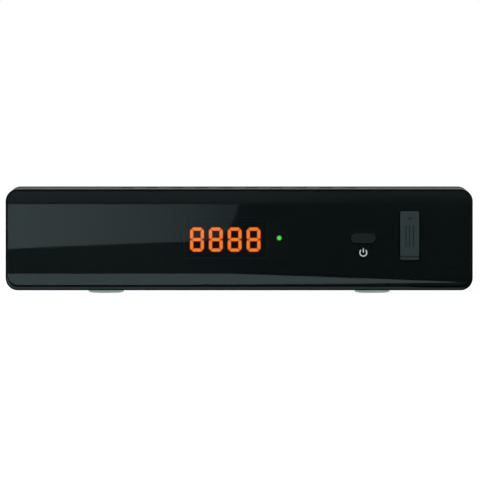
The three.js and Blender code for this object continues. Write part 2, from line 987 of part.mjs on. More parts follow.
// The inside-out outline of a folded sheet: a channel with round corners, open at one side.
function channel(half, low, high, radius, thickness, openSide) {
  const outer = roundedRectangle(-half, half, low, high, radius);
  const inner = roundedRectangle(
    -half + thickness,
    half - thickness,
    low + (openSide === "bottom" ? -overrun : thickness),
    high - (openSide === "top" ? -overrun : thickness),
    radius - thickness,
  );
  return { outer, inner };
}

// Steel cover: a channel open below, with a lip at the back
const topSlotFieldY = wallRear - topSlotFieldSetback - topSlotLength / 2;
const sideSlotZ = coverTop - sideSlotTopGap - sideSlotHeight / 2;
const sideScrewY = wallRear - sideScrewSetback;
const sideScrewZ = panTop + sideScrewRise;
const lipScrewZ = coverTop - lipScrewDrop;
const sideSlotMiddleY = (steelFront + wallFront) / 2;

// The holes for the side screws, with a sink for each head in the cover and the flange behind it.
function sideScrewHoles() {
  const bore = barX(
    screwShankRadius + clearance,
    sideScrewY,
    sideScrewZ,
    -coverHalf - overrun,
    coverHalf + overrun,
  );
  const sinks = [-1, 1].map((side) =>
    sinkCone(clearance, overrun)
      .rotateY((side * Math.PI) / 2)
      .translate(side * coverHalf, sideScrewY, sideScrewZ),
  );
  return [bore, ...sinks];
}

function sideSlots() {
  return Array.from({ length: sideSlotCount }, (_, i) => {
    const y = sideSlotMiddleY + (i - (sideSlotCount - 1) / 2) * sideSlotPitch;
    return alongX(
      slotShape(y, sideSlotZ, slotWidth, sideSlotHeight),
      -coverHalf - overrun,
      coverHalf + overrun,
      slotEndSteps,
    );
  });
}

function topSlots() {
  const tools = [];
  for (let row = 0; row < topSlotRows; row++) {
    for (let column = 0; column < topSlotColumns; column++) {
      const x = (column - (topSlotColumns - 1) / 2) * topSlotPitchX;
      const y = topSlotFieldY - row * topSlotPitchY;
      tools.push(
        alongZ(
          slotShape(x, y, topSlotWidth, topSlotLength),
          coverTop - sheet - overrun,
          coverTop + overrun,
          slotEndSteps,
        ),
      );
    }
  }
  return tools;
}

function makeCover() {
  const radius = cornerRadius - coverInset;
  const low = coverSideBottom - cornerRadius - overrun;
  const { outer, inner } = channel(coverHalf, low, coverTop, radius, sheet, "bottom");
  const channelBody = cut(
    solid(alongY(outer, steelFront, caseDepth)),
    alongY(inner, steelFront - overrun, caseDepth - sheet),
  );
  const big = coverHalf + overrun;
  const trims = [
    block(-big, big, steelFront - overrun, caseDepth + overrun, low - overrun, coverSideBottom),
    block(
      -coverHalf + sheet,
      coverHalf - sheet,
      caseDepth - sheet - overrun,
      caseDepth + overrun,
      low - overrun,
      coverTop - lipHeight,
    ),
  ];
  const holeRadius = screwShankRadius + clearance;
  const lipHoles = [-coverScrewX, coverScrewX].map((x) =>
    barY(holeRadius, x, lipScrewZ, caseDepth - sheet - overrun, caseDepth + overrun),
  );
  return cut(channelBody, ...trims, ...lipHoles, ...sideScrewHoles(), ...sideSlots(), ...topSlots());
}

const housing = new THREE.Group();
receiver.add(housing);
piece(housing, "top_cover", makeCover(), paintedSteel);

// Rear sockets stand in a row along the back of the main board with equal gaps
const rearOrder = [
  ["power", powerBodyWidth],
  ["scart", scartWidth],
  ["hdmi", hdmiWidth],
  ["audio", audioBodyWidth],
  ["tuner", tunerWidth],
];
const rearTotal = rearOrder.reduce((sum, [, wide]) => sum + wide, 0);
const rearGap = (boardHalf * 2 - rearTotal) / (rearOrder.length + 1);
const rearX = {};
rearOrder.reduce((x, [name, wide]) => {
  rearX[name] = x + rearGap + wide / 2;
  return x + rearGap + wide;
}, -boardHalf);
const rfInputX = rearX.tuner + rfSpacing / 2;
const rfOutputX = rearX.tuner - rfSpacing / 2;
const rfZ = boardTop + rfCentreHeight;
const audioZ = boardTop + audioCentreHeight;
const hdmiLow = boardTop + hdmiLift;
const scartLow = boardTop + clearance;
const scartZ = scartLow + scartHeight / 2;
const powerZ = boardTop + powerCentreHeight;

// A rear socket's hexagon outline: the lower corners slant in.
function hdmiShape(margin) {
  const half = hdmiWidth / 2 + margin;
  const low = hdmiLow - margin;
  const high = hdmiLow + hdmiHeight + margin;
  return polygon([
    [rearX.hdmi - half + hdmiShoulder, low],
    [rearX.hdmi + half - hdmiShoulder, low],
    [rearX.hdmi + half, low + hdmiShoulder],
    [rearX.hdmi + half, high],
    [rearX.hdmi - half, high],
    [rearX.hdmi - half, low + hdmiShoulder],
  ]);
}

// The SCART face: a rectangle with one slanted end, grown by a margin.
function scartShape(margin) {
  const half = scartFaceWidth / 2 + margin;
  const tall = scartFaceHeight / 2 + margin;
  return polygon([
    [rearX.scart - half, scartZ - tall],
    [rearX.scart + half - scartSlant, scartZ - tall],
    [rearX.scart + half, scartZ - tall + scartSlant],
    [rearX.scart + half, scartZ + tall],
    [rearX.scart - half, scartZ + tall],
  ]);
}

// A pressed foot: a hollow cup in the pan with a flat face to stand on.
function footProfile() {
  const outer = [];
  for (let i = 0; i <= footRoundSteps; i++) {
    const angle = (i / footRoundSteps) * (Math.PI / 2);
    outer.push([
      footFlatRadius + (footLowRadius - footFlatRadius) * Math.sin(angle),
      footRoundHeight * (1 - Math.cos(angle)),
    ]);
  }
  outer.push([footTopRadius, panTop - sheet / 2], [footTopRadius, panTop]);
  const innerTop = footTopRadius - sheet;
  const inner = [
    [innerTop, panTop],
    [footLowRadius - sheet, footRoundHeight + sheet],
    [footFlatRadius - sheet, sheet],
    [0, sheet],
  ];
  return [[0, 0], ...outer, ...inner].map(([r, z]) => new THREE.Vector2(r, z));
}

// A lathe turned about Z.
function turned(profile, sides) {
  return new THREE.LatheGeometry(profile, sides).rotateX(Math.PI / 2);
}

const chassisMiddleY = (steelFront + wallRear) / 2;
const footPlaces = [-footX, footX].flatMap((x) =>
  [steelFront + footEndInset, wallRear - footEndInset].map((y) => [x, y]),
);
const boardHolePlaces = [-1, 1].flatMap((side) =>
  [boardFront + boardHoleInset, (boardFront + boardRear) / 2].map((y) => [
    side * (boardHalf - boardHoleInset),
    y,
  ]),
);

function makeChassis() {
  const flangeTop = panTop + flangeHeight;
  const { outer, inner } = channel(
    chassisHalf,
    panGroundGap,
    chassisTop,
    chassisCorner,
    sheet,
    "top",
  );
  const big = chassisHalf + overrun;
  const tray = cut(
    solid(alongY(outer, steelFront, wallRear)),
    alongY(inner, steelFront - overrun, wallFront),
    block(-big, big, steelFront - overrun, wallFront, flangeTop, chassisTop + overrun),
  );
  const feet = footPlaces.map(([x, y]) => turned(footProfile(), footSides).translate(x, y, 0));
  const posts = boardHolePlaces.map(([x, y]) =>
    barZ(postRadius, x, y, panTop - sheet / 2, boardBottom - clearance),
  );
  const footHoles = footPlaces.map(([x, y]) =>
    barZ(footTopRadius - sheet / 2, x, y, panGroundGap - overrun, panTop + overrun, footSides),
  );
  const bores = boardHolePlaces.map(([x, y]) =>
    barZ(screwShankRadius + clearance, x, y, panTop, boardBottom + overrun),
  );
  const bottomSlots = [-1, 1].flatMap((side) =>
    Array.from({ length: bottomSlotCount }, (_, i) =>
      alongZ(
        slotShape(
          side * (i + 1 / 2) * bottomSlotPitch,
          chassisMiddleY,
          slotWidth,
          slotLength,
        ),
        panGroundGap - overrun,
        panTop + overrun,
        slotEndSteps,
      ),
    ),
  );
  const holeRadius = screwShankRadius + clearance;
  const through = [wallFront - overrun, wallRear + overrun];
  const rearHoles = [
    ...[-coverScrewX, coverScrewX].map((x) =>
      barY(holeRadius, x, lipScrewZ, ...through),
    ),
    barY(rfFlangeRadius + clearance, rfInputX, rfZ, ...through, roundSides),
    barY(rfFlangeRadius + clearance, rfOutputX, rfZ, ...through, roundSides),
    barY(audioCollarRadius + clearance, rearX.audio, audioZ, ...through, roundSides),
    alongY(hdmiShape(clearance), ...through),
    alongY(scartShape(scartBorder + clearance), ...through),
    block(
      rearX.power - powerBodyWidth / 2 - clearance,
      rearX.power + powerBodyWidth / 2 + clearance,
      ...through,
      boardTop,
      boardTop + powerBodyHeight + clearance * 2,
    ),
    ...sideScrewHoles(),
  ];
  return cut(
    cut(tray, ...footHoles).add(join(...feet)).add(join(...posts)),
    ...bores,
    ...bottomSlots,
    ...rearHoles,
  );
}

piece(housing, "chassis", makeChassis(), zincSteel);

[-1, 1].forEach((side) =>
  screw(
    housing,
    side < 0 ? "lip_screw_left" : "lip_screw_right",
    panScrew,
    [side * coverScrewX, caseDepth + clearance, lipScrewZ],
    headBack,
  ),
);
screw(housing, "side_screw_right", sunkScrew, [coverHalf, sideScrewY, sideScrewZ], headRight);
screw(housing, "side_screw_left", sunkScrew, [-coverHalf, sideScrewY, sideScrewZ], headLeft);

// Main board and what stands on it
const board = new THREE.Group();
receiver.add(board);

function makeMainBoard() {
  return cut(
    solid(block(-boardHalf, boardHalf, boardFront, boardRear, boardBottom, boardTop)),
    ...boardHolePlaces.map(([x, y]) =>
      barZ(screwShankRadius + clearance, x, y, boardBottom - overrun, boardTop + overrun),
    ),
  );
}

piece(board, "main_board", makeMainBoard(), circuitGreen);
boardHolePlaces.forEach(([x, y], i) =>
  screw(board, `main_board_screw_${i + 1}`, panScrew, [x, y, boardTop + clearance], headUp),
);

const seat = boardTop + clearance;

function boxOnBoard(x, y, wide, deep, low, high) {
  return block(x - wide / 2, x + wide / 2, y - deep / 2, y + deep / 2, low, high);
}

// Tuner can, with two holes in its back where the antenna sockets leave it
const tunerBack = boardRear;
const tunerFront = tunerBack - tunerDepth;
const rfRoot = tunerBack + clearance;
const rfEnd = caseDepth + rfSleeveLength;

piece(
  board,
  "tuner_can",
  block(
    rearX.tuner - tunerWidth / 2,
    rearX.tuner + tunerWidth / 2,
    tunerFront,
    tunerBack,
    seat,
    seat + tunerHeight,
  ),
  zincSteel,
);

// An antenna socket: a flange, a thin sleeve and either a pin or a bored core.
function antennaSocket(x, male) {
  const flangeBack = wallRear + rfFlangeThickness;
  const body = join(
    barY(rfFlangeRadius, x, rfZ, rfRoot, flangeBack, roundSides),
    barY(rfSleeveRadius, x, rfZ, flangeBack - rfFlangeThickness / 2, rfEnd, roundSides),
  );
  const hollow = barY(rfSleeveRadius - rfWall, x, rfZ, flangeBack, rfEnd + overrun, roundSides);
  const coreRadius = male ? rfPinRadius : rfCoreRadius;
  const core = barY(coreRadius, x, rfZ, flangeBack - rfFlangeThickness / 2, rfEnd - rfWall);
  const open = cut(body, hollow).add(solid(core));
  return male ? open : cut(open, barY(rfBoreRadius, x, rfZ, flangeBack, rfEnd + overrun));
}

piece(board, "antenna_input", antennaSocket(rfInputX, false), socketSteel);
piece(board, "antenna_output", antennaSocket(rfOutputX, true), socketSteel);

function makeAudioJack() {
  const back = wallFront - clearance;
  const body = block(
    rearX.audio - audioBodyWidth / 2,
    rearX.audio + audioBodyWidth / 2,
    back - audioBodyDepth,
    back,
    seat,
    seat + audioBodyHeight,
  );
  return join(
    body,
    barY(
      audioCollarRadius,
      rearX.audio,
      audioZ,
      back - audioBodyDepth / 2,
      wallRear + audioCollarLength,
      roundSides,
    ),
  );
}

function makeAudioBarrel() {
  const root = wallRear + audioCollarLength + clearance;
  const end = root + audioBarrelLength;
  return cut(
    solid(barY(audioBarrelRadius, rearX.audio, audioZ, root, end, roundSides)),
    barY(audioBoreRadius, rearX.audio, audioZ, end - audioBoreDepth, end + overrun),
  );
}

piece(board, "digital_audio_jack", makeAudioJack(), orangePlastic);
piece(board, "digital_audio_barrel", makeAudioBarrel(), socketSteel);

function makeHdmi() {
  const back = wallRear + hdmiProud;
  const frontEnd = back - hdmiDepth;
  const shell = cut(
    solid(alongY(hdmiShape(0), frontEnd, back)),
    alongY(hdmiShape(-hdmiShell), frontEnd + hdmiShell, back + overrun),
  );
  const middle = hdmiLow + hdmiHeight / 2;
  const tongue = block(
    rearX.hdmi - hdmiTongueWidth / 2,
    rearX.hdmi + hdmiTongueWidth / 2,
    frontEnd + hdmiShell / 2,
    back - hdmiProud * 2,
    middle,
    middle + hdmiTongueThickness,
  );
  return shell.add(solid(tongue));
}

piece(board, "hdmi_socket", makeHdmi(), socketSteel);

function makeScart() {
  const wall = wallFront - clearance;
  const face = wallRear + scartProud;
  const body = join(
    boxOnBoard(rearX.scart, wall - scartDepth / 2, scartWidth, scartDepth, scartLow, scartLow + scartHeight),
    alongY(scartShape(scartBorder), wall - scartDepth / 2, face),
  );
  const groove = cut(
    solid(alongY(scartShape(0), face - scartGrooveDepth, face + overrun)),
    alongY(scartShape(-scartGroove), face - scartGrooveDepth - overrun, face + overrun * 2),
  );
  const scartContactsX = rearX.scart - scartSlant * scartShiftShare;
  const contacts = [];
  for (const row of [-1, 1]) {
    for (let i = 0; i < scartContactColumns; i++) {
      const along = (i - (scartContactColumns - 1) / 2) * scartContactPitch;
      const x = scartContactsX + along + (row * scartContactPitch) / 4;
      const z = scartZ + (row * scartRowSpacing) / 2;
      contacts.push(
        block(
          x - scartContactWidth / 2,
          x + scartContactWidth / 2,
          face - scartContactDepth,
          face + overrun,
          z - scartContactHeight / 2,
          z + scartContactHeight / 2,
        ),
      );
    }
  }
  return cut(body.subtract(groove), ...contacts);
}

piece(board, "scart_socket", makeScart(), plainPlastic);

function makePowerJack() {
  const back = wallRear + powerProud;
  const half = powerBodyWidth / 2;
  const body = cut(
    solid(
      block(
        rearX.power - half,
        rearX.power + half,
        back - powerBodyDepth,
        back,
        seat,
        seat + powerBodyHeight,
      ),
    ),
    barY(powerBoreRadius, rearX.power, powerZ, back - powerBoreDepth, back + overrun, roundSides),
  );
  const pin = barY(
    powerPinRadius,
    rearX.power,
    powerZ,
    back - powerBoreDepth - overrun,
    back - powerPinSetback,
  );
  return body.add(solid(pin));
}

piece(board, "power_jack", makePowerJack(), plainPlastic);

// Chips, heat sink, capacitors and coils, placed by shares of the board between the sockets and the front
const freeRear = boardRear - tunerDepth - clearance;
const freeDepth = freeRear - boardFront;
const placeX = (share) => boardHalf * share;
const placeY = (share) => boardFront + freeDepth * share;
const processorXShare = 0.3;
const processorYShare = 0.5;
const memoryXShare = 0.02;
const flashXShare = 0.62;
const crystalXShare = 0.62;
const memoryYShare = 0.5;
const flashYShare = 0.3;
const crystalYShare = 0.7;
const capacitorXShares = [-0.8, -0.62];
const smallCapacitorXShares = [-0.46, -0.34];
const capacitorYShare = 0.72;
const inductorXShares = [-0.76, -0.56];
const inductorYShare = 0.38;

const processorX = placeX(processorXShare);
const processorY = placeY(processorYShare);
const chipTop = seat + chipThickness;
const heatsinkLow = chipTop + clearance;

piece(
  board,
  "processor_chip",
  boxOnBoard(processorX, processorY, processorSize, processorSize, seat, chipTop),
  chipBlack,
);

function makeHeatsink() {
  const base = heatsinkLow + heatsinkBase;
  const half = heatsinkSize / 2;
  const step = (heatsinkSize - heatsinkFin) / (heatsinkFins - 1);
  const fins = Array.from({ length: heatsinkFins }, (_, i) => {
    const x = processorX - half + i * step;
    return block(
      x,
      x + heatsinkFin,
      processorY - half,
      processorY + half,
      base - heatsinkBase / 2,
      heatsinkLow + heatsinkHeight,
    );
  });
  return join(boxOnBoard(processorX, processorY, heatsinkSize, heatsinkSize, heatsinkLow, base), ...fins);
}

piece(board, "heat_sink", makeHeatsink(), finAluminium);

const flatParts = [
  ["memory_chip", memoryXShare, memoryYShare, memoryWidth, memoryDepth, chipThickness, chipBlack],
  ["flash_chip", flashXShare, flashYShare, flashWidth, flashDepth, chipThickness, chipBlack],
  ["crystal_can", crystalXShare, crystalYShare, crystalWidth, crystalDepth, crystalHeight, socketSteel],
];
for (const [name, xShare, yShare, wide, deep, high, material] of flatParts) {
  piece(board, name, boxOnBoard(placeX(xShare), placeY(yShare), wide, deep, seat, seat + high), material);
}

function capacitor(name, xShare, radius, high) {
  const body = barZ(radius, placeX(xShare), placeY(capacitorYShare), seat, seat + high);
  piece(board, name, body, capacitorSleeve);
}

capacitorXShares.forEach((share, i) =>
  capacitor(`large_capacitor_${i + 1}`, share, largeCapacitorRadius, largeCapacitorHeight),
);
smallCapacitorXShares.forEach((share, i) =>
  capacitor(`small_capacitor_${i + 1}`, share, smallCapacitorRadius, smallCapacitorHeight),
);

inductorXShares.forEach((share, i) => {
  const x = placeX(share);
  const y = placeY(inductorYShare);
  const half = inductorSize / 2;
  const outline = roundedRectangle(x - half, x + half, y - half, y + half, inductorCorner);
  piece(board, `power_coil_${i + 1}`, alongZ(outline, seat, seat + inductorHeight), ferriteGrey);
});

// The flat cable leaves the front board's connector downwards and turns back to the main board's
const cableZ = boardTop + clearance + connectorHeight / 2;
const cableY = displayBoardBack + clearance + connectorHeight / 2;
const bendOuter = cableBendRadius + cableThickness / 2;
const bendInner = cableBendRadius - cableThickness / 2;
const bendY = cableY + cableBendRadius;
const bendZ = cableZ + cableBendRadius;
const mainConnectorFront = bendY + cableStraight;
const frontConnectorLow = bendZ + clearance;

function makeCable() {
  const path = new THREE.Shape();
  const half = cableThickness / 2;
  const backEnd = mainConnectorFront + cableInsertion - clearance;
  const topEnd = frontConnectorLow + cableInsertion - clearance;
  path.moveTo(backEnd, cableZ - half);
  path.lineTo(bendY, cableZ - half);
  path.absarc(bendY, bendZ, bendOuter, -Math.PI / 2, -Math.PI, true);
  path.lineTo(cableY - half, topEnd);
  path.lineTo(cableY + half, topEnd);
  path.lineTo(cableY + half, bendZ);
  path.absarc(bendY, bendZ, bendInner, Math.PI, Math.PI * 1.5, false);
  path.lineTo(backEnd, cableZ + half);
  return alongX(path, cableX - cableWidth / 2, cableX + cableWidth / 2);
}

// A connector for the flat cable: a block with a slot as wide and thick as the cable.
function makeConnector(upright) {
  const slotHalfWide = cableWidth / 2 + clearance;
  const slotHalf = cableThickness / 2 + clearance;
  const half = connectorWidth / 2;
  const body = upright
    ? block(
        cableX - half,
        cableX + half,
        displayBoardBack + clearance,
        displayBoardBack + clearance + connectorHeight,
        frontConnectorLow,
        frontConnectorLow + connectorDepth,
      )
    : block(
        cableX - half,
        cableX + half,
        mainConnectorFront,
        mainConnectorFront + connectorDepth,
        boardTop + clearance,
        boardTop + clearance + connectorHeight,
      );
  const slot = upright
    ? block(
        cableX - slotHalfWide,
        cableX + slotHalfWide,
        cableY - slotHalf,
        cableY + slotHalf,
        frontConnectorLow - overrun,
        frontConnectorLow + cableInsertion,
      )
    : block(
        cableX - slotHalfWide,
        cableX + slotHalfWide,
        mainConnectorFront - overrun,
        mainConnectorFront + cableInsertion,
        cableZ - slotHalf,
        cableZ + slotHalf,
      );
  return cut(solid(body), slot);
}

piece(board, "ribbon_cable", makeCable(), cableWhite);
piece(board, "front_board_connector", makeConnector(true), connectorIvory);
piece(board, "main_board_connector", makeConnector(false), connectorIvory);

// The origin is at the middle of the box's bottom: the depths run from the USB cover to the last socket.
const frontEnd = -Math.max(coverProud, buttonProud);
const rearEnd = Math.max(rfEnd, wallRear + audioCollarLength + clearance + audioBarrelLength);
receiver.position.y = -(frontEnd + rearEnd) / 2;

export default receiver;
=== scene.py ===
import json
import math

import bmesh
import bpy
from mathutils import Matrix, Vector


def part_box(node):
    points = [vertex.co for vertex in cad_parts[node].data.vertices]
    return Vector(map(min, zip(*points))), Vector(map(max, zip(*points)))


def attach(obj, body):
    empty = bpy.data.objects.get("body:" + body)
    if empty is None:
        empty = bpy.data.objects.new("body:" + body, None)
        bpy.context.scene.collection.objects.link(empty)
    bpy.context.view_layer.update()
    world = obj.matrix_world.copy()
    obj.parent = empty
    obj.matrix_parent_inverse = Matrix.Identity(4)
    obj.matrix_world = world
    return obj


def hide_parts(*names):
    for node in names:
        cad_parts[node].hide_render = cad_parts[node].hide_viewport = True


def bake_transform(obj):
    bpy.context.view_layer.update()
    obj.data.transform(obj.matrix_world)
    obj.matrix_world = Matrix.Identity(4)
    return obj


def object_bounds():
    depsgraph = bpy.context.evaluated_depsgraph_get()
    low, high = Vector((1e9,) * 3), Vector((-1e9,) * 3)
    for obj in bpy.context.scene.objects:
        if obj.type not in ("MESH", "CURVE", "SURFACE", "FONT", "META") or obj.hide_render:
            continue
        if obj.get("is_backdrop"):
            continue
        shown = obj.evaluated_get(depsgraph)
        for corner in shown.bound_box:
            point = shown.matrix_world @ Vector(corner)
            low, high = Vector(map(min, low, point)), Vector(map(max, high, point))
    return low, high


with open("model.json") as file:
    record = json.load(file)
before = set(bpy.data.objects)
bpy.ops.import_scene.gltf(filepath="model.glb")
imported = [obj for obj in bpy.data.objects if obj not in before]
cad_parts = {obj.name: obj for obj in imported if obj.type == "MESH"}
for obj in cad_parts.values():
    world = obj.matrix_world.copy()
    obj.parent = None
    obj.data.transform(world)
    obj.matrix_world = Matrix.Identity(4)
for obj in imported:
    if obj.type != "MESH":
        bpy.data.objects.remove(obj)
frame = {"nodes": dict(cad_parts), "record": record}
cad_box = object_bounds()
scene = bpy.context.scene
nodes = frame["nodes"]

# Lengths are written in millimetres and turned into metres here
MM = 0.001


def point(x, y, z):
    return Vector((x * MM, y * MM, z * MM))


def link_object(name, data):
    obj = bpy.data.objects.new(name, data)
    scene.collection.objects.link(obj)
    return obj


def linear(red, green, blue):
    """A screen colour from 0 to 255 as the linear colour that the shaders use."""

    def channel(value):
        share = value / 255
        return share / 12.92 if share <= 0.04045 else ((share + 0.055) / 1.055) ** 2.4

    return (channel(red), channel(green), channel(blue), 1.0)


# Camera: a very long lens in front of the set, which looks down by less than a degree
FRONT = -53.5
PHOTO_WIDTH = 172.55
PHOTO_MIDDLE = (0.3, 19.52)
CAMERA_DISTANCE = 7400
CAMERA_HEIGHT = 137
SENSOR = 36

camera_data = bpy.data.cameras.new("camera")
camera_data.type = "PERSP"
camera_data.sensor_width = SENSOR
camera_data.lens = SENSOR * CAMERA_DISTANCE / PHOTO_WIDTH
camera_data.clip_start = 0.1
camera_data.clip_end = 40
camera = link_object("camera", camera_data)
camera.location = point(0, FRONT - CAMERA_DISTANCE, CAMERA_HEIGHT)
aim = point(PHOTO_MIDDLE[0], FRONT, PHOTO_MIDDLE[1]) - camera.location
camera.rotation_euler = aim.to_track_quat("-Z", "Y").to_euler()
scene.camera = camera


# Half a period of the wave texture at scale 1
HALF_WAVE = math.pi / 20


def fed(tree, kind, feeds=(), output=0, **settings):
    """An output of a new shader node. Its feeds are (input, value) or (input, output to link)."""
    node = tree.nodes.new(kind)
    for name, value in settings.items():
        setattr(node, name, value)
    for name, feed in dict(feeds).items():
        if isinstance(feed, bpy.types.NodeSocket):
            tree.links.new(feed, node.inputs[name])
        else:
            node.inputs[name].default_value = feed
    return node.outputs[output]


class Shader:
    """A material with one Principled shader, and short ways to feed it patterns."""

    def __init__(self, name, color, roughness, metallic=0.0):
        self.name = name
        self.material = bpy.data.materials.new(name)
        self.material.use_nodes = True
        self.tree = self.material.node_tree
        self.inputs = self.tree.nodes["Principled BSDF"].inputs
        self.color = color
        basic = {"Base Color": color, "Roughness": roughness, "Metallic": metallic}
        for socket, value in (basic | SOCKETS.get(name, {})).items():
            self.inputs[socket].default_value = value
        self.place = self.fed("ShaderNodeTexCoord", output="Object")

    def fed(self, kind, feeds=(), output=0, **settings):
        return fed(self.tree, kind, feeds, output, **settings)

    def set(self, socket, source):
        self.tree.links.new(source, self.inputs[socket])

    def scaled(self, size, stretch):
        place = self.fed("ShaderNodeMapping", {"Vector": self.place, "Scale": stretch})
        return {"Vector": place, "Scale": 1 / (size * MM)}

    def noise(self, size, detail=3.0, rough=0.55, stretch=(1, 1, 1)):
        """Cloudy noise from 0 to 1, whose features are about size millimetres across."""
        feeds = self.scaled(size, stretch) | {"Detail": detail, "Roughness": rough}
        return self.fed("ShaderNodeTexNoise", feeds, "Fac")

    def cells(self, size, feature="F1", output="Color", stretch=(1, 1, 1)):
        """Cells about size millimetres across, as their colours or another output."""
        return self.fed("ShaderNodeTexVoronoi", self.scaled(size, stretch), output, feature=feature)

    def waves(self, size):
        """Bands across X, size millimetres wide, with gaps of the same width."""
        feeds = {"Vector": self.place, "Scale": HALF_WAVE / (size * MM)}
        return self.fed("ShaderNodeTexWave", feeds, "Fac", bands_direction="X")

    def spread(self, value, low, high, start=0.3, end=0.7):
        """A value from start to end, spread over low to high."""
        feeds = {"Value": value, "From Min": start, "From Max": end, "To Min": low, "To Max": high}
        return self.fed("ShaderNodeMapRange", feeds)

    def compare(self, value, limit, operation="GREATER_THAN"):
        return self.fed("ShaderNodeMath", {0: value, 1: limit}, operation=operation)

    def mixed(self, factor, one, other):
        """A colour between two colours; the node's colour sockets have no names of their own."""
        return self.fed("ShaderNodeMix", {0: factor, 6: one, 7: other}, 2, data_type="RGBA")

    def vary_color(self, factor, low, high):
        """The base colour, darker and lighter by a pattern."""
        dark = tuple(c * low for c in self.color[:3]) + (1.0,)
        pale = tuple(min(1.0, c * high) for c in self.color[:3]) + (1.0,)
        self.set("Base Color", self.mixed(factor, dark, pale))

    def bump(self, height, depth, strength=1.0):
        """Raises the surface by a pattern, depth millimetres high."""
        feeds = {"Height": height, "Distance": depth * MM, "Strength": strength}
        self.set("Normal", self.fed("ShaderNodeBump", feeds))


# Colours and finishes
PANEL_BLACK = linear(12, 18, 18)
BUTTON_BLACK = linear(13, 18, 18)
PANEL_TINT = (0.72, 0.95, 1.0, 1.0)

# How much of the light the smoked window holds back; its black and its gloss make up for the rest
SMOKE = 0.55
SMOKED_BLACK = tuple(c / SMOKE for c in PANEL_BLACK[:3]) + (1.0,)

# Sockets beside colour, roughness and metal
TINT = "Specular Tint"
LEVEL = "Specular IOR Level"
SOCKETS = {
    "gloss_front": {TINT: PANEL_TINT},
    "smoked_window": {TINT: PANEL_TINT, LEVEL: 0.5 / SMOKE, "Alpha": SMOKE},
    "window_back": {LEVEL: 0.02, "Alpha": 0.15},
    "window_print": {LEVEL: 0.02},
    "bezel_satin": {LEVEL: 0.09},
    # The bezel's rim without gloss: painted shade
    "bezel_rim_painted_shade": {LEVEL: 0.0},
    "button_plastic": {TINT: PANEL_TINT, LEVEL: 0.32},
    "flap_rubber": {TINT: PANEL_TINT, LEVEL: 0.5},
    # The flap foot's lip: a painted highlight
    "flap_lip_painted_highlight": {TINT: PANEL_TINT},
    # Almost no gloss on the cover paint: its glancing sheen is painted into its colour instead
    "cover_paint": {TINT: (0.8, 1.0, 0.97, 1.0), LEVEL: 0.005},
    "display_plate": {LEVEL: 0.04},
    "amber_rim": {LEVEL: 0.05},
}

# Finishes that vary by noise: colour, roughness and metal, then the tone as (size, detail, darkest,
# palest), the relief as (size, detail, depth) and the roughness as (size, detail, low, high). Sizes and
# depths are in millimetres.
FINISHES = {
    "window_back": (linear(8, 9, 9), 0.6, 0, (3.0, 2, 0.9, 1.1)),
    "window_print": (linear(4, 5, 5), 0.7, 0, (1.0, 3, 0.85, 1.15)),
    "bezel_satin": (linear(9, 12, 12), 0.5, 0, (2.0, 3, 0.85, 1.15), (0.2, 3, 0.004)),
    # The bezel's rim in black: painted shade for its dark outline
    "bezel_rim_painted_shade": (linear(4, 5, 5), 0.7, 0, (1.5, 3, 0.85, 1.15)),
    "button_plastic": (BUTTON_BLACK, 0.34, 0, (2.2, 3, 0.92, 1.08), (0.12, 2, 0.002), (3, 3, 0.3, 0.38)),
    "flap_rubber": (linear(29, 38, 39), 0.55, 0, (1.8, 4, 0.9, 1.1), (0.14, 3, 0.006), (2.4, 3, 0.48, 0.62)),
    # A paler rubber on the flap foot's lip: a painted highlight
    "flap_lip_painted_highlight": (linear(68, 75, 75), 0.4, 0, (1.2, 3, 0.92, 1.08)),
    "screw_steel": ((0.55, 0.56, 0.55, 1.0), 0.3, 1, (0.7, 4, 0.8, 1.1), None, (0.4, 3, 0.22, 0.38)),
    "socket_steel": ((0.66, 0.65, 0.61, 1.0), 0.22, 1, (2.0, 4, 0.88, 1.06), None, (1.0, 4, 0.16, 0.3)),
    "contact_gold": ((0.85, 0.62, 0.28, 1.0), 0.25, 1, (0.8, 3, 0.85, 1.08)),
    "plain_plastic": (linear(30, 31, 32), 0.5, 0, (1.5, 4, 0.85, 1.15), (0.16, 3, 0.005), (3, 3, 0.42, 0.58)),
    "insulator_white": (linear(214, 214, 206), 0.4, 0, (1.2, 3, 0.93, 1.03), (0.2, 2, 0.003)),
    "orange_plastic": (linear(226, 110, 30), 0.38, 0, (1.8, 3, 0.9, 1.08), (0.18, 3, 0.004)),
    "light_pipe": (linear(14, 26, 16), 0.3, 0, (0.6, 2, 0.85, 1.15)),
    "display_plate": (linear(7, 7, 7), 0.6, 0, (0.8, 3, 0.8, 1.2)),
    "chip_plastic": (linear(40, 41, 42), 0.6, 0, (0.3, 3, 0.8, 1.2), (0.15, 3, 0.006)),
    "ferrite": (linear(58, 56, 54), 0.55, 0, (0.4, 4, 0.75, 1.2), (0.25, 4, 0.01)),
    "connector_plastic": (linear(222, 214, 190), 0.45, 0, (1.0, 3, 0.92, 1.04), (0.2, 2, 0.004)),
    "printed_mark": (linear(238, 244, 242), 0.5, 0, (0.3, 3, 0.94, 1.04)),
}

# Lights: the unlit colour and roughness, then size, two colours and strength of the glow
LIGHTS = {
    "amber_light": ((0.3, 0.06, 0.01, 1), 0.4, 0.5, (0.98, 0.18, 0.01, 1), (1, 0.22, 0.018, 1), 2.4),
    "amber_rim": ((0.05, 0.01, 0.004, 1), 0.6, 0.5, (0.85, 0.04, 0.001, 1), (1, 0.06, 0.002, 1), 0.1),
    "green_light": ((0.02, 0.3, 0.02, 1), 0.3, 0.4, (0.03, 0.92, 0.01, 1), (0.045, 1, 0.02, 1), 2.15),
    "green_rim": ((0.03, 0.25, 0.03, 1), 0.4, 0.4, (0.13, 0.9, 0.1, 1), (0.16, 1, 0.13, 1), 1.7),
}


def varied(name, color, roughness, metallic, tone, bump=None, rough=None):
    shader = Shader(name, color, roughness, metallic)
    size, detail, low, high = tone
    shader.vary_color(shader.noise(size, detail), low, high)
    if bump:
        size, detail, depth = bump
        shader.bump(shader.noise(size, detail), depth)
    if rough:
        size, detail, low, high = rough
        shader.set("Roughness", shader.spread(shader.noise(size, detail), low, high))
    return shader


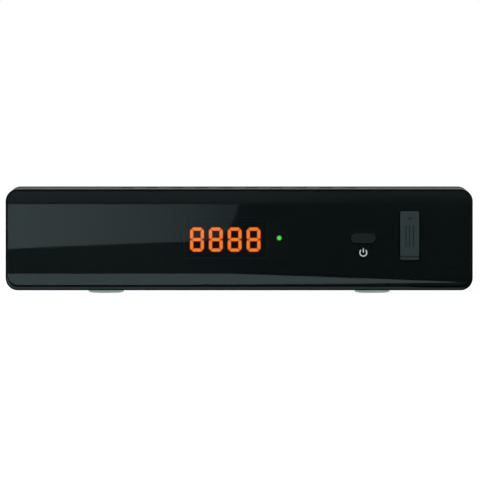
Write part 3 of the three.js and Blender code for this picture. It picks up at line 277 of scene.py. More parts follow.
def lit(name, color, roughness, size, one, other, strength):
    shader = Shader(name, color, roughness)
    shader.set("Emission Color", shader.mixed(shader.noise(size, 2), one, other))
    shader.inputs["Emission Strength"].default_value = strength
    return shader


def glossy(name, color):
    shader = Shader(name, color, 0.02)
    shader.set("Roughness", shader.spread(shader.noise(14, 2), 0.016, 0.026))
    return shader


def cover_paint():
    """A matt paint with a fine grain. Its grey-green is partly the paint's own colour and partly painted
    sheen, standing in for the glancing reflection along the top.
    """
    paint = Shader("cover_paint", linear(66, 77, 75), 0.55)
    grain = paint.noise(0.35, 3, 0.6)
    paint.vary_color(grain, 0.85, 1.15)
    paint.bump(grain, 0.02, 0.6)
    paint.set("Roughness", paint.spread(paint.noise(5.0), 0.72, 0.84))
    return paint


def zinc_steel():
    """Galvanised sheet, whose crystals differ in tone and sheen."""
    zinc = Shader("zinc_steel", (0.24, 0.315, 0.295, 1.0), 0.4, 1.0)
    cells = zinc.cells(3.4, stretch=(1, 1.3, 1))
    red, green = (zinc.fed("ShaderNodeSeparateColor", {"Color": cells}, name) for name in ("Red", "Green"))
    zinc.vary_color(red, 0.91, 1.06)
    zinc.set("Roughness", zinc.spread(green, 0.28, 0.44, 0, 1))
    zinc.bump(zinc.noise(0.8, 4), 0.008)
    return zinc


def circuit_board():
    """Green lacquer with paler copper tracks under it."""
    board = Shader("circuit_board", linear(28, 82, 50), 0.38)
    tracks = board.cells(3.2, "DISTANCE_TO_EDGE", "Distance")
    copper = board.compare(tracks, 0.06, "LESS_THAN")
    board.set("Base Color", board.mixed(copper, linear(24, 74, 44), linear(44, 108, 66)))
    board.bump(tracks, 0.01, 0.4)
    board.set("Roughness", board.spread(board.noise(2.0), 0.3, 0.45))
    return board


def fin_aluminium():
    """Drawn metal with streaks."""
    fin = Shader("fin_aluminium", (0.62, 0.63, 0.64, 1.0), 0.36, 1.0)
    streak = fin.noise(0.3, 3, 0.6, (1, 0.05, 0.05))
    fin.vary_color(streak, 0.85, 1.05)
    fin.set("Roughness", fin.spread(streak, 0.28, 0.46))
    return fin


def capacitor_sleeve():
    """Dark sleeving with a pale stripe."""
    blue = linear(34, 40, 62)
    sleeve = Shader("capacitor_sleeve", blue, 0.35)
    stripe = sleeve.compare(sleeve.waves(6.0), 0.88)
    sleeve.set("Base Color", sleeve.mixed(stripe, blue, linear(170, 172, 176)))
    sleeve.bump(sleeve.noise(0.5, 2), 0.004)
    return sleeve


def cable_film():
    """Pale film with a row of ridges over its conductors."""
    film = Shader("cable_film", linear(206, 206, 200), 0.42)
    lines = film.waves(1.0)
    ridge = film.compare(lines, 0.55)
    film.set("Base Color", film.mixed(ridge, linear(218, 218, 212), linear(168, 160, 140)))
    film.bump(lines, 0.02, 0.5)
    return film


def make_materials():
    shaders = [varied(name, *settings) for name, settings in FINISHES.items()]
    shaders += [lit(name, *settings) for name, settings in LIGHTS.items()]
    shaders += [glossy("gloss_front", PANEL_BLACK), glossy("smoked_window", SMOKED_BLACK)]
    shaders += [cover_paint(), zinc_steel(), circuit_board(), fin_aluminium()]
    shaders += [capacitor_sleeve(), cable_film()]
    return {shader.name: shader.material for shader in shaders}


materials = make_materials()


# Mesh helpers. Angles are in degrees.
FLAT_ANGLE = 0.5
SMOOTH_ANGLE = 26
EDGE_ANGLE = 40
NORMAL_WEIGHT = 80


def finished(obj, slot, body, *replaced, extra=(), record_slot=None):
    """Gives a piece its materials and its body, and hides the nodes that it stands for. record_slot is not
    used.
    """
    for name in (slot, *extra):
        obj.data.materials.append(materials[name])
    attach(obj, body)
    if replaced:
        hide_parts(*replaced)


def modified(obj, kind, **settings):
    modifier = obj.modifiers.new(kind.lower(), kind)
    for name, value in settings.items():
        setattr(modifier, name, value)


def shaded(obj, angle=SMOOTH_ANGLE):
    """Smooth shading with the sharp edges kept, and normals weighted by face area."""
    mesh = obj.data
    stale = mesh.attributes.get("custom_normal")
    if stale:
        mesh.attributes.remove(stale)
    mesh.polygons.foreach_set("use_smooth", [True] * len(mesh.polygons))
    mesh.set_sharp_from_angle(angle=math.radians(angle))
    modified(obj, "WEIGHTED_NORMAL", keep_sharp=True, weight=NORMAL_WEIGHT)
    return obj


def sharp_edges(bm, where=None):
    """The sharp edges, of which both ends have to pass a test if there is one."""
    limit = math.radians(EDGE_ANGLE)
    sharp = [e for e in bm.edges if len(e.link_faces) == 2 and e.calc_face_angle(0) > limit]
    return [e for e in sharp if where is None or all(where(v.co) for v in e.verts)]


def joined_coplanar(bm, delimit=()):
    limit = math.radians(FLAT_ANGLE)
    bmesh.ops.dissolve_limit(bm, angle_limit=limit, verts=bm.verts, edges=bm.edges, delimit=set(delimit))


def rounded(bm, edges, width, segments=3):
    shape = {"segments": segments, "profile": 0.5, "affect": "EDGES", "clamp_overlap": True}
    bmesh.ops.bevel(bm, geom=edges, offset=width * MM, offset_type="OFFSET", **shape)


def mesh_of(node, joined=True):
    """The node's own mesh as an editable copy, its level faces joined."""
    bm = bmesh.new()
    bm.from_mesh(nodes[node].data)
    bmesh.ops.remove_doubles(bm, verts=bm.verts, dist=1e-6)
    if joined:
        joined_coplanar(bm)
    return bm


def stored(bm, mesh):
    bm.normal_update()
    bmesh.ops.recalc_face_normals(bm, faces=bm.faces)
    bm.to_mesh(mesh)
    bm.free()


def object_from(name, bm):
    mesh = bpy.data.meshes.new(name)
    stored(bm, mesh)
    return link_object(name, mesh)


def carved(obj, cutters):
    """Cuts closed meshes out of a piece and keeps the result as its mesh."""
    for cutter in cutters:
        modified(obj, "BOOLEAN", operation="DIFFERENCE", solver="EXACT", object=cutter)
    bpy.context.view_layer.update()
    shown = obj.evaluated_get(bpy.context.evaluated_depsgraph_get())
    mesh = bpy.data.meshes.new_from_object(shown)
    obj.modifiers.clear()
    obj.data = mesh
    for cutter in cutters:
        bpy.data.objects.remove(cutter)


def add_box(bm, low, high, material=0):
    """A box between two corners, given in millimetres."""
    made = bmesh.ops.create_cube(bm, size=1.0)
    middle = (Vector(low) + Vector(high)) / 2 * MM
    size = (Vector(high) - Vector(low)) * MM
    for v in made["verts"]:
        v.co = Vector(middle[i] + v.co[i] * size[i] for i in range(3))
    for face in {f for v in made["verts"] for f in v.link_faces}:
        face.material_index = material
    return made["verts"]


def add_prism(bm, outline, y0, y1, material=0):
    """A closed prism along Y from points in X and Z."""
    ends = [[bm.verts.new(point(x, y, z)) for x, z in outline] for y in (y0, y1)]
    faces = [bm.faces.new(ends[0]), bm.faces.new(ends[1])]
    for i in range(len(outline)):
        j = (i + 1) % len(outline)
        faces.append(bm.faces.new((ends[0][i], ends[0][j], ends[1][j], ends[1][i])))
    for face in faces:
        face.material_index = material


def add_ring(bm, radius, height, sides, matrix):
    """New corners round the matrix's Z, at a radius and a height in millimetres; one if the radius is 0."""
    if radius == 0:
        return [bm.verts.new(matrix @ point(0, 0, height))]
    turns = [2 * math.pi * i / sides for i in range(sides)]
    return [bm.verts.new(matrix @ point(radius * math.cos(t), radius * math.sin(t), height)) for t in turns]


def join_rings(bm, rings):
    """The faces between rings of corners, from each to the next."""
    for below, above in zip(rings, rings[1:]):
        sides = max(len(below), len(above))
        for i in range(sides):
            j = (i + 1) % sides
            if len(below) == 1:
                bm.faces.new((below[0], above[j], above[i]))
            elif len(above) == 1:
                bm.faces.new((below[i], below[j], above[0]))
            else:
                bm.faces.new((below[i], below[j], above[j], above[i]))


def lathe(bm, profile, sides, matrix):
    """A closed turned form: profile points are (radius, height) in millimetres, along the matrix's Z."""
    join_rings(bm, [add_ring(bm, radius, height, sides, matrix) for radius, height in profile])


def tube_ring(bm, inner, outer, low, high, sides, matrix, edge):
    """A closed flat ring with broken edges, along the matrix's Z."""
    profile = [(inner + edge, low), (outer - edge, low), (outer, low + edge), (outer, high - edge)]
    profile += [(outer - edge, high), (inner + edge, high), (inner, high - edge), (inner, low + edge)]
    rings = [add_ring(bm, radius, height, sides, matrix) for radius, height in profile]
    join_rings(bm, rings + rings[:1])


def pointing(x, y, z, direction):
    """A matrix at a place in millimetres, whose Z points along a direction."""
    turn = Vector(direction).to_track_quat("Z", "Y").to_matrix().to_4x4()
    return Matrix.Translation(point(x, y, z)) @ turn


def middle_of(node):
    low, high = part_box(node)
    return [(low[i] + high[i]) / 2 / MM for i in range(3)]


# Carried-over nodes: edges broken by a small bevel, and a finish for each record slot
BEVELS = {
    0.05: ("ribbon_cable",),
    0.08: ("hdmi_socket",),
    0.12: ("chassis", "main_board", "front_board"),
    0.14: ("top_cover",),
    0.18: ("antenna_input", "antenna_output", "heat_sink"),
    0.25: ("scart_socket", "power_jack", "digital_audio_jack"),
    0.3: ("front_bezel", "digital_audio_barrel"),
    0.4: ("tuner_can", "power_coil_1", "power_coil_2"),
    0.5: ("crystal_can",),
    0.6: ("small_capacitor_1", "small_capacitor_2"),
    0.8: ("large_capacitor_1", "large_capacitor_2"),
}
PLAIN_BEVEL = 0.15
BEVEL_ANGLE = 28
WELD_DISTANCE = 0.002

# Nodes with another finish than their record slot's
OTHER_FINISH = {"display_body": "display_plate"}


def dress_nodes():
    slots = {part["node"]: part["material_slot"] for part in frame["record"]["subparts"]}
    widths = {name: width for width, names in BEVELS.items() for name in names}
    flat, limit = math.radians(FLAT_ANGLE), math.radians(BEVEL_ANGLE)
    for name, obj in nodes.items():
        obj.data.materials.clear()
        obj.data.materials.append(materials[OTHER_FINISH.get(name, slots[name])])
        obj.data.polygons.foreach_set("use_smooth", [True] * len(obj.data.polygons))
        modified(obj, "WELD", merge_threshold=WELD_DISTANCE * MM)
        modified(obj, "DECIMATE", decimate_type="DISSOLVE", angle_limit=flat)
        width = widths.get(name, PLAIN_BEVEL) * MM
        modified(obj, "BEVEL", width=width, segments=2, limit_method="ANGLE", angle_limit=limit)
        modified(obj, "WEIGHTED_NORMAL", weight=NORMAL_WEIGHT)


dress_nodes()


# The front's outline and facets, as in the solids: boxes are left, right, bottom and top
FRONT_BOX = (-84.0, 84.0, 1.4, 37.8)
FRONT_CORNER = 4.4
WINDOW_BOX = (-83.2, 83.2, 3.3, 37.0)
WINDOW_CORNER = 3.6
FACET_LINES = (7.4, 32.4)

# A face turned this much towards -Y counts as part of the front, facets included
FACING = 0.93


def rounded_outline(box, corner, steps=10):
    """A rectangle with round corners, as points in X and Z."""
    left, right, low, high = box[0] + corner, box[1] - corner, box[2] + corner, box[3] - corner
    points = []
    for start, x, z in ((0, right, high), (90, left, high), (180, left, low), (270, right, low)):
        for i in range(steps + 1):
            turn = math.radians(start + 90 * i / steps)
            points.append((x + corner * math.cos(turn), z + corner * math.sin(turn)))
    return points


def outline_gap(x, z):
    """How far inside the front's outline a place is; 0 on it."""
    left, right, low, high = FRONT_BOX
    dx = abs(x - (left + right) / 2) - ((right - left) / 2 - FRONT_CORNER)
    dz = abs(z - (low + high) / 2) - ((high - low) / 2 - FRONT_CORNER)
    outside = math.hypot(max(dx, 0), max(dz, 0)) + min(max(dx, dz), 0)
    return FRONT_CORNER - outside


def front_edges(bm, depth, where=None):
    """The sharp edges less than depth millimetres behind the front's plane."""
    limit = point(0, FRONT + depth, 0).y
    return sharp_edges(bm, lambda co: co.y < limit and (where is None or where(co)))


def crisp_facets(obj):
    """Keeps the two long facet edges of the front sharp."""
    mesh = obj.data
    sharp = mesh.attributes.get("sharp_edge") or mesh.attributes.new("sharp_edge", "BOOLEAN", "EDGE")
    limit = (FRONT + 0.6) * MM
    for edge in mesh.edges:
        ends = [mesh.vertices[i].co for i in edge.vertices]
        for line in FACET_LINES:
            if all(abs(e.z / MM - line) < 0.03 and e.y < limit for e in ends):
                sharp.data[edge.index].value = True


# Front bezel: gloss on its face, satin on its sides, a rim painted black without gloss as painted shade, and
# a shadow gap below the window
RIM_ROUNDING = 0.4
RIM_DEPTH = 1.6
SHADOW_GAP = 0.62
GAP_DEPTH = 2.2


def make_bezel():
    bm = mesh_of("front_bezel")
    rim = front_edges(bm, RIM_DEPTH, lambda co: abs(outline_gap(co.x / MM, co.z / MM)) < 0.05)
    rounded(bm, rim, RIM_ROUNDING, 4)
    piece = object_from("bezel_shell", bm)
    left, right, low, high = WINDOW_BOX
    gap = bmesh.new()
    outline = rounded_outline((left, right, low - SHADOW_GAP, high - SHADOW_GAP), WINDOW_CORNER)
    add_prism(gap, outline, FRONT - 1, FRONT + GAP_DEPTH)
    carved(piece, [object_from("gap", gap)])
    shaded(piece, 30)
    crisp_facets(piece)
    for face in piece.data.polygons:
        x, y, z = face.center / MM
        on_face = outline_gap(x, z) > RIM_ROUNDING - 0.05 and face.normal.y < -FACING
        if y > FRONT + RIM_DEPTH or face.normal.y > -0.1:
            face.material_index = 1
        else:
            # Rim faces off the flat face take the black without gloss: painted shade
            face.material_index = 0 if on_face else 2
    extra = ["bezel_satin", "bezel_rim_painted_shade"]
    finished(piece, "gloss_front", "housing", "front_bezel", extra=extra)


make_bezel()


# Front window: a smoked plate, printed black behind except in front of the lights
CLEAR_FIELD = (-20.4, 17.4, 12.8, 26.4)
WINDOW_BEVEL = 0.12
WINDOW_DEPTH = 1.2


def make_window():
    left, right, low, high = CLEAR_FIELD
    bm = mesh_of("front_window", joined=False)
    planes = [(point(x, 0, 0), (1, 0, 0)) for x in (left, right)]
    planes += [(point(0, 0, z), (0, 0, 1)) for z in (low, high)]
    for place, normal in planes:
        everything = list(bm.verts) + list(bm.edges) + list(bm.faces)
        bmesh.ops.bisect_plane(bm, geom=everything, plane_co=place, plane_no=normal, dist=1e-7)
    bm.normal_update()
    for face in bm.faces:
        x, _, z = face.calc_center_median() / MM
        if face.normal.y > 0.9:
            face.material_index = 1 if left < x < right and low < z < high else 2
    joined_coplanar(bm, {"MATERIAL"})
    rounded(bm, front_edges(bm, WINDOW_DEPTH), WINDOW_BEVEL)
    piece = shaded(object_from("window_plate", bm))
    crisp_facets(piece)
    for face in piece.data.polygons:
        if face.normal.y < -FACING:
            face.material_index = 0
        elif face.normal.y < 0.9:
            face.material_index = 3
    extra = ["window_back", "window_print", "gloss_front"]
    finished(piece, "smoked_window", "housing", "front_window", extra=extra)


make_window()


# Standby mark printed below the button: a broken ring with a short bar
MARK_CENTRE = (44.63, 14.98)
MARK_OUTER = 1.37
MARK_INNER = 1.11
MARK_GAP = 42
MARK_BAR = (0.12, 1.56)
MARK_THICKNESS = 0.02
MARK_LIFT = 0.004
MARK_STEPS = 40


def make_mark():
    centre_x, centre_z = MARK_CENTRE
    gap = math.radians(MARK_GAP)
    bm = bmesh.new()
    front, back = FRONT - MARK_LIFT - MARK_THICKNESS, FRONT - MARK_LIFT

    def arc(radius, y):
        turns = [gap + (2 * math.pi - 2 * gap) * i / MARK_STEPS for i in range(MARK_STEPS + 1)]
        return [
            bm.verts.new(point(centre_x + radius * math.sin(t), y, centre_z + radius * math.cos(t)))
            for t in turns
        ]

    rings = [arc(MARK_OUTER, front), arc(MARK_INNER, front), arc(MARK_INNER, back), arc(MARK_OUTER, back)]
    for i in range(MARK_STEPS):
        for k in range(4):
            a, b = rings[k], rings[(k + 1) % 4]
            bm.faces.new((a[i], a[i + 1], b[i + 1], b[i]))
    for i in (0, MARK_STEPS):
        bm.faces.new([ring[i] for ring in rings])
    half, tall = MARK_BAR
    add_box(bm, (centre_x - half, front, centre_z), (centre_x + half, back, centre_z + tall))
    finished(object_from("standby_mark", bm), "printed_mark", "housing", record_slot="smoked_window")


make_mark()


# Digits: lit bars in a faintly lit reflector, on a dark plate
DIGIT_WIDTH = 4.96
DIGIT_HEIGHT = 8.68
DIGIT_RAISE = 0.05
BAR_WIDTH = 1.14
BAR_GAP = 0.14
BAR_THICKNESS = 0.1
DIGIT_CHAMFER = 1.1
REFLECTOR_MARGIN = 0.26
REFLECTOR_SETBACK = 0.12
HOLE_CHAMFER = 0.2
PLATE_THICKNESS = 0.4


def digit_bars():
    """The seven bars of a digit, as outlines round its centre."""
    right, top, gap = DIGIT_WIDTH / 2, DIGIT_HEIGHT / 2, BAR_GAP
    waist = BAR_WIDTH / 2
    tip = right - waist - gap
    side = right - BAR_WIDTH
    inner = side - gap
    near, far = (DIGIT_CHAMFER - gap) / 2, (DIGIT_CHAMFER + gap) / 2
    half = [(right - DIGIT_CHAMFER, top), (right - far, top - near), (inner, top - BAR_WIDTH)]
    upright = [(right, top - DIGIT_CHAMFER), (right - near, top - far), (side, top - BAR_WIDTH - gap)]
    upright += [(side, waist + gap), (right - waist, gap), (right, waist)]
    bars = []
    for up in (1, -1):
        bars.append([(x, z * up) for x, z in half] + [(-x, z * up) for x, z in reversed(half)])
        bars += [[(x * across, z * up) for x, z in upright] for across in (1, -1)]
    bars.append([(tip, 0), (inner, waist), (-inner, waist), (-tip, 0), (-inner, -waist), (inner, -waist)])
    return bars


def chamfered(half_width, half_height, chamfer, rise=0.0):
    """A rectangle with cut corners, as points in X and Z."""
    points = []
    for across, up in ((1, 1), (-1, 1), (-1, -1), (1, -1)):
        side = (across * half_width, rise + up * (half_height - chamfer))
        end = (across * (half_width - chamfer), rise + up * half_height)
        points += [side, end] if across == up else [end, side]
    return points


def reflector_outlines():
    """The reflector's outer outline and its two windows, round the digit's centre."""
    grown = REFLECTOR_MARGIN
    outer = chamfered(DIGIT_WIDTH / 2 + grown, DIGIT_HEIGHT / 2 + grown, DIGIT_CHAMFER + grown * 0.6)
    half = DIGIT_WIDTH / 2 - BAR_WIDTH - grown
    tall = (DIGIT_HEIGHT / 2 - BAR_WIDTH * 1.5) / 2 - grown
    rise = (BAR_WIDTH / 2 + DIGIT_HEIGHT / 2 - BAR_WIDTH) / 2
    return outer, [chamfered(half, tall, HOLE_CHAMFER, rise * up) for up in (1, -1)]


def placed(outline, x0, z0):
    return [(x0 + x, z0 + z) for x, z in outline]


def make_digits():
    outer, holes = reflector_outlines()
    for number in range(1, 5):
        node = f"display_digit_{number}"
        low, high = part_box(node)
        x0, _, z0 = middle_of(node)
        z0 += DIGIT_RAISE
        plate_back, face = high.y / MM, low.y / MM
        plate_front = plate_back - PLATE_THICKNESS
        bm = bmesh.new()
        add_prism(bm, placed(outer, x0, z0), face + REFLECTOR_SETBACK, plate_front, 1)
        piece = object_from(f"digit_{number}", bm)
        cutters = []
        for hole in holes:
            cutter = bmesh.new()
            add_prism(cutter, placed(hole, x0, z0), face - 1, plate_front + 1, 1)
            cutters.append(object_from("hole", cutter))
        carved(piece, cutters)
        bm = bmesh.new()
        bm.from_mesh(piece.data)
        plate = ((low.x / MM, plate_front, low.z / MM), (high.x / MM, plate_back, high.z / MM))
        add_box(bm, *plate, 2)
        for bar in digit_bars():
            add_prism(bm, placed(bar, x0, z0), face, face + BAR_THICKNESS, 0)
        stored(bm, piece.data)
        shaded(piece)
        finished(piece, "amber_light", "housing", node, extra=["amber_rim", "display_plate"])


make_digits()


# Status light: the lit end of the pipe inside its lit rim, on a dark collared body
LIGHT_END = [(0, 0), (0.48, 0), (0.52, 0.05), (0.52, 0.5), (0, 0.5)]
LIGHT_RIM = (0.53, 0.81, 0.04, 0.5)
LIGHT_COLLAR = [(0, 0.52), (0.81, 0.52), (1.0, 0.56), (1.0, 1.2), (1.9, 1.25), (1.9, 2.2), (1.0, 2.3)]
ROUND_SIDES = 40


def paint_new(bm, known, material):
    """Gives all faces that aren't known yet a material, and returns all faces."""
    for face in set(bm.faces) - known:
        face.material_index = material
    return set(bm.faces)


def make_status_light():
    low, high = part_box("status_light_pipe")
    x, _, z = middle_of("status_light_pipe")
    face = low.y / MM
    depth = high.y / MM - face
    bm = bmesh.new()
    ahead = pointing(x, face, z, (0, 1, 0))
    lathe(bm, LIGHT_END, ROUND_SIDES, ahead)
    known = paint_new(bm, set(), 0)
    tube_ring(bm, *LIGHT_RIM, ROUND_SIDES, ahead, 0.03)
    known = paint_new(bm, known, 1)
    lathe(bm, LIGHT_COLLAR + [(1.0, depth), (0, depth)], ROUND_SIDES, ahead)
    paint_new(bm, known, 2)
    piece = shaded(object_from("status_pipe", bm))
    extra = ["green_rim", "light_pipe"]
    finished(piece, "green_light", "housing", "status_light_pipe", extra=extra)


make_status_light()


# Standby button: a crowned cap on its stem
BUTTON_ROUNDING = 0.38

# How far behind the front's plane the front edges of the button and the flap lie at most
CAP_DEPTH = 0.2


def make_button():
    bm = mesh_of("standby_button")
    rounded(bm, front_edges(bm, CAP_DEPTH), BUTTON_ROUNDING, 4)
    piece = shaded(object_from("button_cap", bm))
    finished(piece, "button_plastic", "button", "standby_button")


make_button()


# USB cover: soft rubber with rounded edges, a finger notch and three plain grip grooves, each given
# as shift in X, height of its middle, width, height and depth
USB_X = 61.3
FLAP_ROUNDING = 0.32
GROOVES = [(0.15, 27.2, 1.44, 0.36, 1.0)] + [(x, 21.0, 0.3, 7.6, 0.5) for x in (-1.35, 0.0, 1.35)]


def make_usb_cover():
    bm = mesh_of("usb_cover")
    rounded(bm, front_edges(bm, CAP_DEPTH), FLAP_ROUNDING, 4)
    piece = object_from("usb_flap", bm)
    cutters = []
    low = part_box("usb_cover")[0].y / MM
    for shift, z, wide, tall, depth in GROOVES:
        groove = bmesh.new()
        x = USB_X + shift
        near, deep = low - 1, low + depth
        add_box(groove, (x - wide / 2, near, z - tall / 2), (x + wide / 2, deep, z + tall / 2))
        cutters.append(object_from("groove", groove))
    carved(piece, cutters)
    shaded(piece)
    finished(piece, "flap_rubber", "flap", "usb_cover")


# The flap's foot: a lip along the front, and a groove above it where the rubber bends. The lip's rounded top
# edge is painted paler, as a painted highlight
FOOT_LIP_TOP = 13.12
FOOT_LIP_ROUNDING = 0.4
FOOT_ROUNDING = 0.2
FOOT_GROOVE = 0.1


def make_usb_anchor():
    low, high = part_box("usb_cover_anchor")
    bm = mesh_of("usb_cover_anchor")
    piece = object_from("usb_flap_foot", bm)
    notch = bmesh.new()
    corner = (high.x / MM + 1, FRONT + FOOT_GROOVE, high.z / MM + 1)
    add_box(notch, (low.x / MM - 1, low.y / MM - 1, FOOT_LIP_TOP), corner)
    carved(piece, [object_from("notch", notch)])
    bm = bmesh.new()
    bm.from_mesh(piece.data)
    top = (FOOT_LIP_TOP - 0.05) * MM
    rounded(bm, front_edges(bm, -FOOT_GROOVE, lambda co: co.z > top), FOOT_LIP_ROUNDING)
    rounded(bm, front_edges(bm, -FOOT_GROOVE, lambda co: co.z < top), FOOT_ROUNDING)
    bm.to_mesh(piece.data)
    bm.free()
    shaded(piece)
    front = point(0, FRONT - FOOT_GROOVE, 0).y
    lip = (FOOT_LIP_TOP - FOOT_LIP_ROUNDING) * MM
    # The lip's rounded top edge gets the paler rubber: a painted highlight
    for face in piece.data.polygons:
        face.material_index = int(face.center.y < front and face.center.z > lip and face.normal.z > 0.1)
    finished(piece, "flap_rubber", "housing", "usb_cover_anchor", extra=["flap_lip_painted_highlight"])


# The thin rubber web that joins the flap to its foot
WEB_HALF = 2.9
WEB_ROWS = 9
WEB_OVERLAP = 0.1


def make_usb_web():
    bm = bmesh.new()
    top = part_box("usb_cover_anchor")[1].z / MM
    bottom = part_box("usb_cover")[0].z / MM
    corners = ((-WEB_HALF, -0.2), (WEB_HALF, -0.2), (WEB_HALF, 0.1), (-WEB_HALF, 0.1))
    rings = []
    for i in range(WEB_ROWS):
        z = top - WEB_OVERLAP + (bottom - top + 2 * WEB_OVERLAP) * i / (WEB_ROWS - 1)
        rings.append([bm.verts.new(point(USB_X + x, FRONT + y, z)) for x, y in corners])
    join_rings(bm, rings)
    bm.faces.new(rings[0])
    bm.faces.new(rings[-1])
    piece = object_from("usb_flap_web", bm)
    piece.data.materials.append(materials["flap_rubber"])
    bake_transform(piece)


# The USB socket's black tongue, and the four contacts along its side
USB_TONGUE_SHIFT = 1.0
USB_TONGUE_HALF = 0.9
USB_TONGUE_TALL = 5.6
USB_TONGUE_START = 3.2
USB_BACK = 2.0
USB_CONTACTS = (-3.5, -1.0, 1.0, 3.5)
USB_CONTACT_HALF = 0.45
USB_CONTACT_OUT = 0.08
USB_CONTACT_IN = 0.04


def make_usb_tongue():
    low, high = (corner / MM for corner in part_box("usb_socket"))
    middle = (low.z + high.z) / 2
    centre = USB_X + USB_TONGUE_SHIFT
    start, end = low.y + USB_TONGUE_START, high.y - USB_BACK
    socket = nodes["usb_socket"]
    socket.data.materials.append(materials["plain_plastic"])
    for face in socket.data.polygons:
        x, y, z = face.center / MM
        beside = abs(x - centre) < USB_TONGUE_HALF + 0.05 and abs(z - middle) < USB_TONGUE_TALL
        face.material_index = int(beside and start - 0.05 < y < end - 0.05)
    bm = bmesh.new()
    side = centre - USB_TONGUE_HALF
    near, far = (side - USB_CONTACT_OUT, start + 0.3), (side + USB_CONTACT_IN, end + 0.2)
    for shift in USB_CONTACTS:
        z = middle + shift
        add_box(bm, (*near, z - USB_CONTACT_HALF), (*far, z + USB_CONTACT_HALF))
    rounded(bm, sharp_edges(bm), 0.03, 2)
    piece = shaded(object_from("usb_contacts", bm))
    finished(piece, "contact_gold", "housing", record_slot="socket_steel")


make_usb_cover()
make_usb_anchor()
make_usb_web()
make_usb_tongue()


# Screws: turned heads with a cross recess. Height 0 is a pan head's seat and a sunk head's top.
SHANK_END = [(0, -5.0), (1.0, -5.0), (1.25, -4.6)]
PAN_HEIGHT = 1.4
PAN_HEAD = SHANK_END + [
    (1.25, 0.0), (2.55, 0.0), (2.7, 0.15), (2.7, 0.62), (2.52, 0.98), (2.1, 1.24), (1.3, 1.37),
    (0, PAN_HEIGHT),
]
SUNK_HEAD = SHANK_END + [(1.25, -1.55), (2.62, -0.14), (2.7, -0.06), (2.62, 0.0), (0, 0.0)]
CROSS_ARMS = ((1.35, 0.3), (0.3, 1.35))
CROSS_DEPTH = 0.95
CROSS_TAPER = 0.55


def make_screw(node, name, place, direction, profile):
    height = profile[-1][1]
    matrix = pointing(*place, direction)
    bm = bmesh.new()
    lathe(bm, profile, ROUND_SIDES, matrix)
    piece = object_from(name, bm)
    cutters = []
    for x, y in CROSS_ARMS:
        cross = bmesh.new()
        for v in add_box(cross, (-x, -y, height - CROSS_DEPTH), (x, y, height + 1)):
            if v.co.z < height * MM:
                v.co.x *= CROSS_TAPER
                v.co.y *= CROSS_TAPER
            v.co = matrix @ v.co
        cutters.append(object_from("cross", cross))
    carved(piece, cutters)
    shaded(piece, 32)
    finished(piece, "screw_steel", "housing", node)


def make_pan_screw(node, name, axis):
    """A pan head at the far end of its node along Y or Z, which are axes 1 and 2."""
    place = middle_of(node)
    place[axis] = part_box(node)[1][axis] / MM - PAN_HEIGHT
    make_screw(node, name, place, (0, axis == 1, axis == 2), PAN_HEAD)


def make_screws():
    for side, way in (("left", -1), ("right", 1)):
        make_pan_screw(f"lip_screw_{side}", f"case_screw_{side}", 1)
        node = f"side_screw_{side}"
        _, y, z = middle_of(node)
        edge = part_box(node)[way > 0].x / MM
        make_screw(node, f"flank_screw_{side}", (edge, y, z), (way, 0, 0), SUNK_HEAD)
    for number in range(1, 5):
        make_pan_screw(f"main_board_screw_{number}", f"board_screw_{number}", 2)
        make_pan_screw(f"front_board_screw_{number}", f"display_screw_{number}", 1)


make_screws()


# Rear sockets: contacts, insulators and a pin that the solids leave out
SCART_PITCH = 3.8794
SCART_SHIFT = 1.32132
SCART_ROW = 3.08
SCART_CONTACT = (0.17, 1.25)
SCART_DEPTHS = (5.9, 1.1)


def make_scart_contacts():
    bm = bmesh.new()
    x0, _, z0 = middle_of("scart_socket")
    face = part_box("scart_socket")[1].y / MM
    half, tall = SCART_CONTACT
    far, near = SCART_DEPTHS
    for row in (-1, 1):
        for i in range(10):
            x = x0 - SCART_SHIFT + (i - 4.5) * SCART_PITCH + row * SCART_PITCH / 4
            z = z0 + row * SCART_ROW
            add_box(bm, (x - half, face - far, z - tall), (x + half, face - near, z + tall))
    rounded(bm, sharp_edges(bm), 0.06, 2)
    piece = shaded(object_from("scart_contacts", bm))
    finished(piece, "contact_gold", "housing", record_slot="socket_steel")


# The HDMI contacts, ten above the tongue and nine below it: count, bottom and top of a row
HDMI_ROWS = ((10, 1.0, 1.05), (9, -0.05, 0.0))
HDMI_CONTACT_HALF = 0.22
HDMI_CONTACT_LENGTH = 6
HDMI_TONGUE_END = 1.5
HDMI_TONGUE_LOW = 2.8


def make_hdmi_contacts():
    bm = bmesh.new()
    x0 = middle_of("hdmi_socket")[0]
    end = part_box("hdmi_socket")[1].y / MM - HDMI_TONGUE_END
    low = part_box("hdmi_socket")[0].z / MM + HDMI_TONGUE_LOW
    half = HDMI_CONTACT_HALF
    for count, bottom, top in HDMI_ROWS:
        for i in range(count):
            x = x0 + (i - (count - 1) / 2)
            add_box(bm, (x - half, end - HDMI_CONTACT_LENGTH, low + bottom), (x + half, end, low + top))
    piece = object_from("hdmi_contacts", bm)
    finished(piece, "contact_gold", "housing", record_slot="socket_steel")


AERIAL_FLOOR = 1.3
AERIAL_BORE = 4.05
AERIAL_SLEEVE = [
    (0, -1.2), (5.85, -1.2), (6.0, -1.05), (6.0, 1.0), (5.8, 1.2), (5.1, 1.2), (4.85, 1.3),
    (4.75, 1.55), (4.75, 8.3), (4.6, 8.5), (4.6, 8.9), (4.75, 9.1), (4.75, 10.2), (4.5, 10.5),
    (4.25, 10.5), (AERIAL_BORE, 10.3), (AERIAL_BORE, AERIAL_FLOOR),
]
AERIAL_CORE = [
    (2.6, AERIAL_FLOOR), (2.6, 9.55), (2.4, 9.8), (1.55, 9.8), (1.3, 9.55), (1.3, AERIAL_FLOOR),
    (0, AERIAL_FLOOR),
]
AERIAL_PIN = [(1.15, AERIAL_FLOOR), (1.15, 9.0), (0.95, 9.5), (0.55, 9.8), (0, 9.8)]
AERIAL_SIDES = 56
INSULATOR_TOP = 4.2
